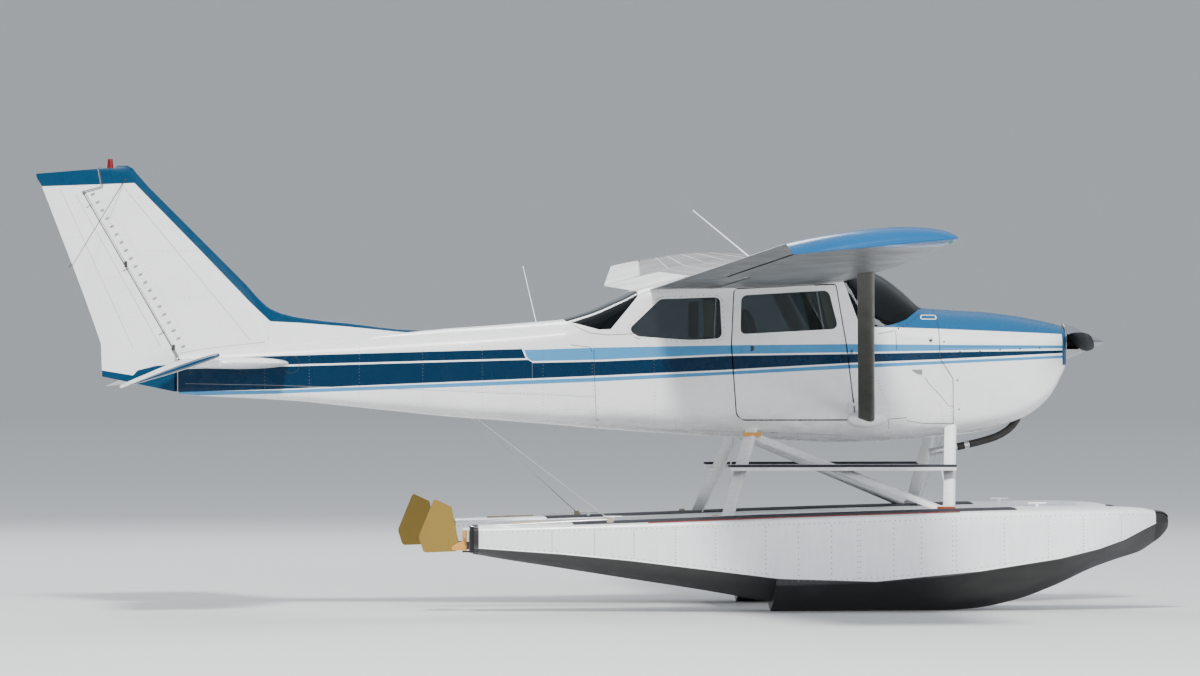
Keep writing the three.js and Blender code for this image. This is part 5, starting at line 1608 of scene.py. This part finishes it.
def stuffed(outline, y, name, nodes=()):
    """A cushion: a block with a rounded rim, remeshed and swelled."""
    middle, half = (y[0] + y[1]) / 2, (y[1] - y[0]) / 2
    rings = []
    for t in (k / 4 for k in range(-4, 5)):
        inward = CUSHION_RIM * (1 - math.sqrt(max(0.0, 1 - abs(t) ** 5)))
        rings.append([(x, middle + half * t, z) for x, z in grown(outline, -inward)])
    piece = loft(rings)
    modifier = piece.modifiers.new("remesh", "REMESH")
    modifier.mode = "VOXEL"
    modifier.voxel_size = CUSHION_VOXEL
    baked(piece)
    swell_up(piece)
    fine = piece.modifiers.new("fine", "SUBSURF")
    fine.levels = fine.render_levels = 1
    baked(piece)
    finish_piece(piece, name, "seat_cloth", SEAT_CLOTH, nodes, sharp=70)


SEAT_PAN = rounded([(300, 1612), (702, 1600), (722, 1690), (690, 1712), (330, 1694)], (30, 40, 30, 40, 20))
SEAT_BACK = rounded([(255, 1668), (338, 1690), (195, 2190), (150, 2268), (108, 2262), (104, 2205)],
                    (30, 30, 40, 24, 24, 30))
BENCH_PAN = rounded([(-600, 1612), (-172, 1606), (-172, 1676), (-214, 1694), (-580, 1682)],
                    (30, 40, 24, 40, 20))
BENCH_BACK = rounded([(-648, 1632), (-578, 1664), (-700, 2096), (-738, 2132), (-774, 2116), (-770, 2076)],
                     (30, 30, 30, 24, 20, 30))


def seat_frame(low, high):
    bits = Bits()
    for y in (low + 30, high - 52):
        bits.block((330, 700), (y, y + 22), (1325, 1345))
        for x in (350, 650):
            bits.rod((x, y + 11, 1340), (x + 10, y + 11, 1600), 12, sides=16)
    bits.block((300, 715), (low + 6, high - 6), (1588, 1602))
    bits.block((240, 262), (low + 30, high - 30), (1600, 2180), -165)
    return bits


def build_seats():
    for side, name in ((-1, "right"), (1, "left")):
        low, high = sorted(side * y for y in FRONT_SEAT_Y)
        stuffed(SEAT_PAN, (low + 8, high - 8), f"front_seat_cushion_{name}", (f"front_seat_{name}",))
        stuffed(SEAT_BACK, (low + 10, high - 10), f"front_seat_back_{name}")
        seat_frame(low, high).finish(f"front_seat_frame_{name}", "dark_panel", SEAM_GREY)
        bench = sorted(side * y for y in BENCH_Y)
        stuffed(BENCH_PAN, bench, f"bench_cushion_{name}", ("rear_bench",) if side < 0 else ())
        stuffed(BENCH_BACK, bench, f"bench_back_{name}")
    base = common(box((-600, -185), (-420, 420), (1340, 1604)), body_solid(BODY_ROWS, ROOM + TRIM))
    finish_piece(base, "bench_box", "dark_panel", LINING)


# Seams, rivets and small fittings, on the right side; lines are x and z of their bends

SKIN_RIVET = (3.2, 1.1)
WINDOW_RIVET = (3.6, 1.1)
FIN_RIVET = (2.8, 1.0)
SEAM_LINES = [
    [(-1019, 1954), (-1016, 1788), (-1008, 1599), (-1001, 1440), (-977, 1375)],
    [(-1191, 1992), (-1049, 1976), (-1034, 1939)],
    [(-1178, 2143), (-1049, 2082), (-914, 2067), (-660, 2080)],
    [(1135, 2075), (1212, 2090), (1267, 2101), (1274, 2078), (1278, 1949)],
    [(1499, 1744), (1538, 1691), (1616, 1612), (1686, 1528), (1717, 1528)],
    [(1219, 1330), (1219, 1431), (1273, 1435), (1358, 1442)],
    [(1359, 1419), (1477, 1400), (1720, 1395)],
]
LAP_LINES = [
    [(-2097, 1646), (-1723, 1627), (-1364, 1615), (-1020, 1599)],
    [(-4080, 1700), (-3500, 1690), (-2900, 1672), (-2097, 1646)],
    [(-505, 1352), (-202, 1345), (300, 1330), (900, 1310)],
]
RIVET_LINES = [
    [(-2774, 1995), (-2777, 1602)],
    [(-1855, 2000), (-1855, 1503)],
    [(-3484, 1960), (-3484, 1620)],
    [(-3150, 1980), (-3150, 1600)],
    [(-2300, 2000), (-2300, 1550)],
    [(-1400, 2020), (-1400, 1480)],
    [(-571, 1953), (-561, 1370)],
    [(-410, 1439), (-386, 1340)],
    [(-2097, 1658), (-1723, 1639), (-1364, 1627), (-1035, 1611)],
    [(-1274, 1509), (-1035, 1501)],
    [(-561, 2385), (-71, 2420), (767, 2465)],
    [(1134, 1723), (1188, 1586), (1211, 1541)],
    [(-1035, 1950), (-1032, 1788), (-1024, 1599), (-1017, 1450)],
    [(1620, 1560), (1640, 1400)],
    [(1700, 1590), (1705, 1430)],
    [(2526, 2155), (2500, 2100), (2490, 2047), (2488, 1990)],
    [(-540, 1345), (-202, 1338), (300, 1322), (900, 1302)],
]
FASTENERS = [
    (1493, 2248), (1463, 2222), (1440, 2205), (1422, 2190), (1396, 2172), (1363, 2150), (1330, 2131),
    (1294, 2116), (1648, 2017), (1753, 1725), (1764, 1505), (1773, 1941), (1929, 1945), (2086, 1956),
    (2244, 1963), (2400, 1970),
]
COWL_JOINT = [(1600, 2225), (1616, 1888), (1715, 1737), (1721, 1340)]
FRAME_LINE = rounded([(1472, 2188), (1484, 2217), (1601, 2217), (1602, 2187)], 10)
HATCH, HATCH_RADIUS = (-3288.0, 1845.0), 66.0


def build_body_lines():
    seams, faint, rivets, dark, pale, scoop, handle = (Bits() for _ in range(7))
    for line in SEAM_LINES:
        seams.ribbon(side_path(line), 4.0)
    for back in (0.0, 5.0):
        seams.ribbon(side_path([(x + back, z) for x, z in COWL_JOINT]), 2.4)
    for line in LAP_LINES:
        faint.ribbon(side_path(line), 2.6, 0.5)
    for line in RIVET_LINES:
        rivets.domes(side_path(line, 26.0), *SKIN_RIVET)
    rivets.domes(side_path(closed(grown(SIDE_WINDOW, 16)), 42.0), *WINDOW_RIVET)
    dark.domes([side_place(x, z) for x, z in FASTENERS], 7, 1.8, 10)
    dark.ribbon(side_path([(850, 1864), (850, 1886)], 8), 4, 4)
    hatch = [(HATCH[0] + HATCH_RADIUS * math.cos(a), HATCH[1] + HATCH_RADIUS * math.sin(a))
             for a in np.linspace(0, 2 * math.pi, 41)]
    dark.ribbon(side_path(hatch, 40), 3.2)
    dark.patch([(-1004, 1428), (-974, 1428), (-962, 1372), (-992, 1372)], 5)
    dark.patch(rounded([(150, 1940), (186, 1948), (186, 1984), (150, 1992)], 16), 3)
    # A small dark dome low on the pale one: painted shade of the dome's underside
    dark.dome(*side_place(1543, 2030), 13, 14, 16)
    # White ring round the vent on the blue cowl: painted highlight along the frame's rim
    pale.ribbon(side_path(closed(FRAME_LINE), 12), 7, 3)
    pale.dome(*side_place(1543, 2046), 20, 14, 20)
    pale.bulge(1050, 1432, 152, 62, 42)
    scoop.patch([(1398, 1806), (1476, 1806), (1476, 1770), (1437, 1778)], 9)
    handle.patch(rounded([(95, 1944), (160, 1944), (160, 1989), (95, 1989)], 8), 6)
    scoop.finish_pair("side_scoop", "bare_skin", SEAM_GREY)
    seams.finish_pair("body_seams", "dark_panel", SEAM_DARK)
    faint.finish_pair("body_laps", "bare_skin", SEAM_GREY)
    rivets.finish_pair("body_rivets", "bare_skin", RIVET_METAL)
    dark.finish_pair("body_fasteners", "dark_panel", SEAM_DARK)
    pale.finish_pair("body_frames", "white_skin", WHITE_PAINT)
    handle.finish_pair("door_handle", "blue_skin", SKY_PAINT, body="door_{side}")


FIN_TABLE = smooth_rows(FIN_ROWS, 20.0)
FIN_SEAMS = [
    [(-4537, 3176), (-3588, 2030)],
    [(-4120, 1930), (-3966, 1957), (-3740, 1986), (-3470, 2014)],
    [(-3452, 2030), (-3440, 2150)],
]
RUDDER_SEAMS = [[(-5019, 3168), (-4470, 1965)], [(-4900, 3120), (-4262, 1975)]]
FIN_RIVET_LINES = [
    [(-4480, 3150), (-3640, 2380)],
    [(-4660, 3060), (-4090, 2080)],
    [(-4380, 2700), (-3950, 2700)],
    [(-4150, 2350), (-3750, 2350)],
]
WEDGES, WEDGE_TOP, WEDGE_RUN = 20, (-4775.0, 3130.0), (680.0, -1148.0)
HORN_LINE = [(-4716, 3177), (-4716, HORN_TOP_Z), (-4744, 3330)]
CONE_PLATE = ((-4130, -4125), (-54, 0), (1640, 1890))
WHISKER_ROOT, WHISKER_SHADOW_END = (-4530, -22, 3244), (-4942, -400, 2581)


def fin_place(x, z):
    """Place on the right skin of the fin or rudder, and the way out there."""
    _, front, rear, half = row_at(FIN_TABLE, z)
    share = min(0.999, max(0.001, (front - x) / (front - rear)))
    ahead = aerofoil_height(max(0.0005, share - 0.01), 1, 0, True)
    here = aerofoil_height(share, 1, 0, True)
    slope = (here - ahead) * 2 * half / (0.01 * (front - rear))
    return Vector((x, -2 * half * here, z)), Vector((-slope, -1, 0)).normalized()


def fin_path(points, spacing=40.0):
    return [fin_place(x, z) for x, z in along_line(points, spacing)]


def build_tail_lines():
    fixed, moving, turbulators_and_gap_shade, rivets, rudder_rivets, whisker_and_shadow = (Bits() for _ in range(6))
    for bits, lines in ((fixed, FIN_SEAMS), (moving, RUDDER_SEAMS)):
        for line in lines:
            bits.ribbon(fin_path(line), 2.8, 0.6)
    for t in (k / (WEDGES - 1) for k in range(WEDGES)):
        x, z = WEDGE_TOP[0] + WEDGE_RUN[0] * t, WEDGE_TOP[1] + WEDGE_RUN[1] * t
        turbulators_and_gap_shade.ribbon([fin_place(x - 14, z - 6), fin_place(x + 14, z + 6)], 5, 10)
    # Dark strips over the rudder's hinge gap and a dark plate on the cone's end below the rudder: painted
    # shade of these gaps
    reach = BAY_GAP + 5
    hinge_line = [(rudder_place(1962, -reach)[0], 1962), (rudder_place(HORN_Z, -reach)[0], HORN_Z - 13)]
    turbulators_and_gap_shade.ribbon(fin_path(hinge_line), 7.5, 0.7)
    turbulators_and_gap_shade.ribbon(fin_path([hinge_line[-1], *((x + reach, z) for x, z in HORN_LINE)]), 6.0, 0.7)
    # Dark plate on the cone's end: painted shade of the gap under the rudder's foot
    turbulators_and_gap_shade.block(*CONE_PLATE)
    for x, z in ((-4546, 2602), (-4186, 1972)):
        y = fin_place(x + 22, z)[0].y
        turbulators_and_gap_shade.block((x + 8, x + 30), (y - 3, y + 4), (z - 22, z + 22))
    for line in FIN_RIVET_LINES:
        rivets.domes(fin_path(line, 34.0), *FIN_RIVET)
    for z in (2200, 2500, 2800, 3060):
        ends = [(rudder_place(z, back)[0], z) for back in (80, 330)]
        rudder_rivets.domes(fin_path(ends, 34.0), *FIN_RIVET)
    # Dark rod from the whisker's root, laid along the dark line on fin and rudder: the real whisker at its
    # root, painted shadow of it along the rest
    whisker_and_shadow.rod(WHISKER_ROOT, WHISKER_SHADOW_END, 3.4, 2.4)
    whisker_and_shadow.dome(WHISKER_ROOT, (0, -1, 0), 9, 9, 14)
    fixed.finish_pair("fin_seams", "dark_panel", SEAM_GREY)
    turbulators_and_gap_shade.finish_pair("fin_turbulators", "dark_panel", SEAM_DARK)
    rivets.finish_pair("fin_rivets", "bare_skin", RIVET_METAL)
    whisker_and_shadow.finish_pair("nav_whisker", "dark_panel", SEAM_DARK)
    moving.finish_pair("rudder_seams", "dark_panel", SEAM_GREY, body="rudder")
    rudder_rivets.finish_pair("rudder_rivets", "dark_panel", RIVET_METAL, body="rudder")


TOP_RIVET = (5.0, 1.4)
RIVET_ROWS_Y = (640.0, 5180.0)
REAR_SPAR = 0.5
NAV_LIGHT = (872, 5340, 2690)
CUFF_SHARE = 0.955


def build_wing_lines():
    below, over = Bits(), Bits()
    down, up = (0, 0, -1), (0, 0, 1)
    for share in (0.28, REAR_SPAR, 0.68):
        for y in np.arange(*RIVET_ROWS_Y, 52.0):
            if share == REAR_SPAR or y < 5100:
                below.dome(in_wing(y, share, 0), down, *SKIN_RIVET, 5)
    for y in range(760, 5200, 380):
        below.domes([(in_wing(y, share, 0), down) for share in np.arange(0.05, 0.7, 0.028)], *SKIN_RIVET, 5)
    for share in (0.08, 0.18, 0.29, 0.4, 0.5, 0.6, 0.68):
        over.domes([(in_wing(y, share, 1), up) for y in np.arange(*RIVET_ROWS_Y, 65.0)], *TOP_RIVET, 5)
    below.finish_pair("wing_rivets", "bare_skin", RIVET_METAL)
    over.finish_pair("wing_top_rivets", "bare_skin", RIVET_WHITE)
    x, y, z = NAV_LIGHT
    for side, name, lens in ((-1, "right", GREEN_LENS), (1, "left", RED_LENS)):
        light = Bits()
        light.dome((x, side * y, z), (0.8, side * 0.6, 0), 24, 26, 20)
        light.finish("nav_light_" + name, "beacon_lens", lens)
    foot, head = (Vector(place) for place in WING_STRUT[0])
    cuff = cut(strut_solid((foot.lerp(head, CUFF_SHARE), head), 150, 62), wing_solid(WING_ROWS, WING_GAP))
    finish_pair(cuff, "wing_strut_cuff", "strut_metal", DULL_STRUT)


FLOAT_TABLES = smooth_rows(FORE_ROWS, 25.0), smooth_rows(AFT_ROWS, 25.0)
FRAME_X = (-1413, -1100, -809, -500, -203, 172, 419, 667, 863, 886, 1134, 1345, 1579, 1609, 1972, 2305, 2578,
           2875)
BAND = 1.6  # how far the black band round the stern stands off the hull
BAND_BOX = [(low - BAND, high + BAND) for low, high in STERN_BOX]
CABLE_HEAD, CABLE_BEND = (-1905, -160, 1452), (-980, -FLOAT_Y - 160, 694)
CABLE_END = (-2000, -FLOAT_Y - 40, 640)


def float_place(x, share, side):
    """Place on a float's side, a share of the way from chine to deck, and the way out there."""
    low, high = float_wall(*row_at(FLOAT_TABLES[0 if x >= STEP_X else 1], x)[2:])
    wide, z = (a + (b - a) * share for a, b in zip(low, high))
    tilt = (high[0] - low[0]) / (high[1] - low[1])
    return Vector((x, -FLOAT_Y + side * wide, z)), Vector((0, side, -tilt)).normalized()


def build_float_lines():
    rivets, tan, wires, red, orange, tread = (Bits() for _ in range(6))
    for x in FRAME_X:
        for share in np.arange(0.06, 0.96, 0.085):
            rivets.domes([float_place(x, share, side) for side in (-1, 1)], 4.6, 1.3, 5)
    for share, spacing in ((0.95, 38.0), (0.05, 46.0)):
        for x in np.arange(-1930, 3120, spacing):
            rivets.domes([float_place(float(x), share, side) for side in (-1, 1)], 4.2, 1.3, 5)
    rivets.finish_pair("float_rivets", "bare_skin", RIVET_METAL)
    band = loft([hull_ring(row_at(FLOAT_TABLES[1], x), BAND) for x in (-1985, -1950)])
    finish_pair(join(band, box(*BAND_BOX)), "stern_band", "black_rubber", BLACK_RUBBER)
    tan.block((-192, -148), (-FLOAT_Y - 52, -FLOAT_Y - 30), (690, 722))
    tan.rod((-1490, -FLOAT_Y - 60, 666), (-1330, -FLOAT_Y - 60, 672), 7, sides=12)
    tan.rod((-1700, -FLOAT_Y + 30, 664), (-1480, -FLOAT_Y + 30, 671), 7, sides=12)
    tan.block((-1000, -950), (-FLOAT_Y - 175, -FLOAT_Y - 150), (655, 705))
    wires.rod(CABLE_HEAD, CABLE_BEND, 3.0)
    wires.rod(CABLE_BEND, CABLE_END, 2.4)
    red.block((1520, 1650), (-968, -896), (742, 778))
    orange.block((108, 248), (-502, -470), (1302, 1332))
    tread.block((-26, 1691), (-801, -644), (1072, 1090))
    tan.finish_pair("deck_fittings", "khaki_paint", TAN_TRIM)
    wires.finish_pair("rudder_cables", "strut_metal", SILVER)
    red.finish_pair("strut_shoe", "orange_paint", RED_FITTING)
    orange.finish_pair("strut_head_fitting", "orange_paint", ORANGE)
    tread.finish_pair("step_plank_tread", "dark_panel", DECK_GRIT)


def build_nose_lines():
    steel, thin = Bits(), Bits()
    steel.rod((1800, -150, 1217.1), (1587, -150, 1171.4), 29.5, sides=24)
    steel.rod((1893, -150, 1237.1), (1858, -150, 1229.6), 33, sides=24)
    thin.rod((-1409, 0, 2150), (-1513, 0, 2592), 4, 3)
    steel.finish("exhaust_clamp", "exhaust_steel", SILVER)
    thin.finish("thin_aerial", "antenna_white", WHITE_PAINT)


for build in (build_lining, build_panel, build_seats, build_body_lines, build_tail_lines, build_wing_lines,
              build_float_lines, build_nose_lines):
    build()


# Carried-over solids take a finish of their own

CARRIED = {
    "engine_block": ENGINE_CAST,
    "exhaust_pipe": EXHAUST,
    "instrument_panel": DARK_PLASTIC,
    "spreader_front": STRUT_METAL,
    "spreader_rear": STRUT_METAL,
    "brace_wires_front": STRUT_METAL,
    "brace_wires_rear": STRUT_METAL,
    "whip_antenna": WHITE_PAINT,
    "beacon": BEACON_RED,
}
for node, material in CARRIED.items():
    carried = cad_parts[node]
    carried.data.materials.clear()
    carried.data.materials.append(material)


# Camera, floor and light, in metres

CAMERA_AT = Vector((-5.3785, -47.930, 1.880))
CAMERA_YAW = 6.450
CAMERA_PITCH = 0.197
LENS_MM = 190.1
SENSOR_MM = 36.0
FAR_CLIP = 400.0
FLOOR_RADIUS = 155.0
FLOOR_BEND = 60.0
WALL_HEIGHT = 110.0
FLOOR_SIDES = 192


def aim(thing, look):
    thing.rotation_euler = look.to_track_quat("-Z", "Y").to_euler()


def add_camera():
    camera = added("camera", bpy.data.cameras.new("camera"))
    yaw, pitch = math.radians(CAMERA_YAW), math.radians(CAMERA_PITCH)
    camera.location = CAMERA_AT
    aim(camera, Vector((math.sin(yaw) * math.cos(pitch), math.cos(yaw) * math.cos(pitch), math.sin(pitch))))
    camera.data.lens = LENS_MM
    camera.data.sensor_width = SENSOR_MM
    camera.data.clip_end = FAR_CLIP
    bpy.context.scene.camera = camera


def floor_material():
    shader = Shader("pale_floor")
    cloud, color = shader.noise(0.4, EVEN, 3.0), (0.62, 0.63, 0.63)
    shader.set(Base_Color=shader.mix(cloud, vary(color, 0.985), vary(color, 1.015)), Roughness=0.85)
    return shader.material


def add_stage():
    """A round pale floor that curves up into a pale wall, far enough out for a view from any side."""
    profile = [(r, 0.0) for r in (1.0, 8.0, 25.0, 70.0, FLOOR_RADIUS)]
    for a in np.linspace(0, math.pi / 2, 24)[1:]:
        profile.append((FLOOR_RADIUS + FLOOR_BEND * math.sin(a), FLOOR_BEND * (1 - math.cos(a))))
    profile.append((FLOOR_RADIUS + FLOOR_BEND, WALL_HEIGHT))
    points = [(r * c, r * s, z) for r, z in profile for c, s in round_turn(FLOOR_SIDES)]
    faces = [tuple(reversed(face)) for face in ring_faces(len(profile), FLOOR_SIDES)[:-1]]
    mesh = bpy.data.meshes.new("floor")
    mesh.from_pydata(points, [], faces)
    mesh.polygons.foreach_set("use_smooth", [True] * len(mesh.polygons))
    mesh.materials.append(floor_material())
    floor = added("floor", mesh)


def add_area(name, place, target, size, watts, color=(1, 1, 1)):
    light = bpy.data.lights.new(name, "AREA")
    light.shape = "RECTANGLE"
    light.size, light.size_y = size
    light.energy = watts
    light.color = color
    lamp = added(name, light)
    lamp.location = place
    aim(lamp, Vector(target) - Vector(place))


def add_light():
    world = bpy.data.worlds.new("sky")
    world.use_nodes = True
    background = world.node_tree.nodes["Background"]
    background.inputs["Color"].default_value = (0.86, 0.92, 1.0, 1.0)
    background.inputs["Strength"].default_value = 0.9
    bpy.context.scene.world = world
    add_area("key", (-4.0, -22.0, 26.0), (0.0, 0.0, 1.6), (5.0, 5.0), 15500, (1.0, 0.975, 0.93))
    add_area("fill", (12.0, -22.0, 8.0), (0.0, 0.0, 1.6), (8.0, 5.0), 2200, (0.95, 0.97, 1.0))
    add_area("back", (-3.0, 18.0, 15.0), (0.0, 0.0, 2.0), (12.0, 5.0), 2600)


add_camera()
add_stage()
add_light()
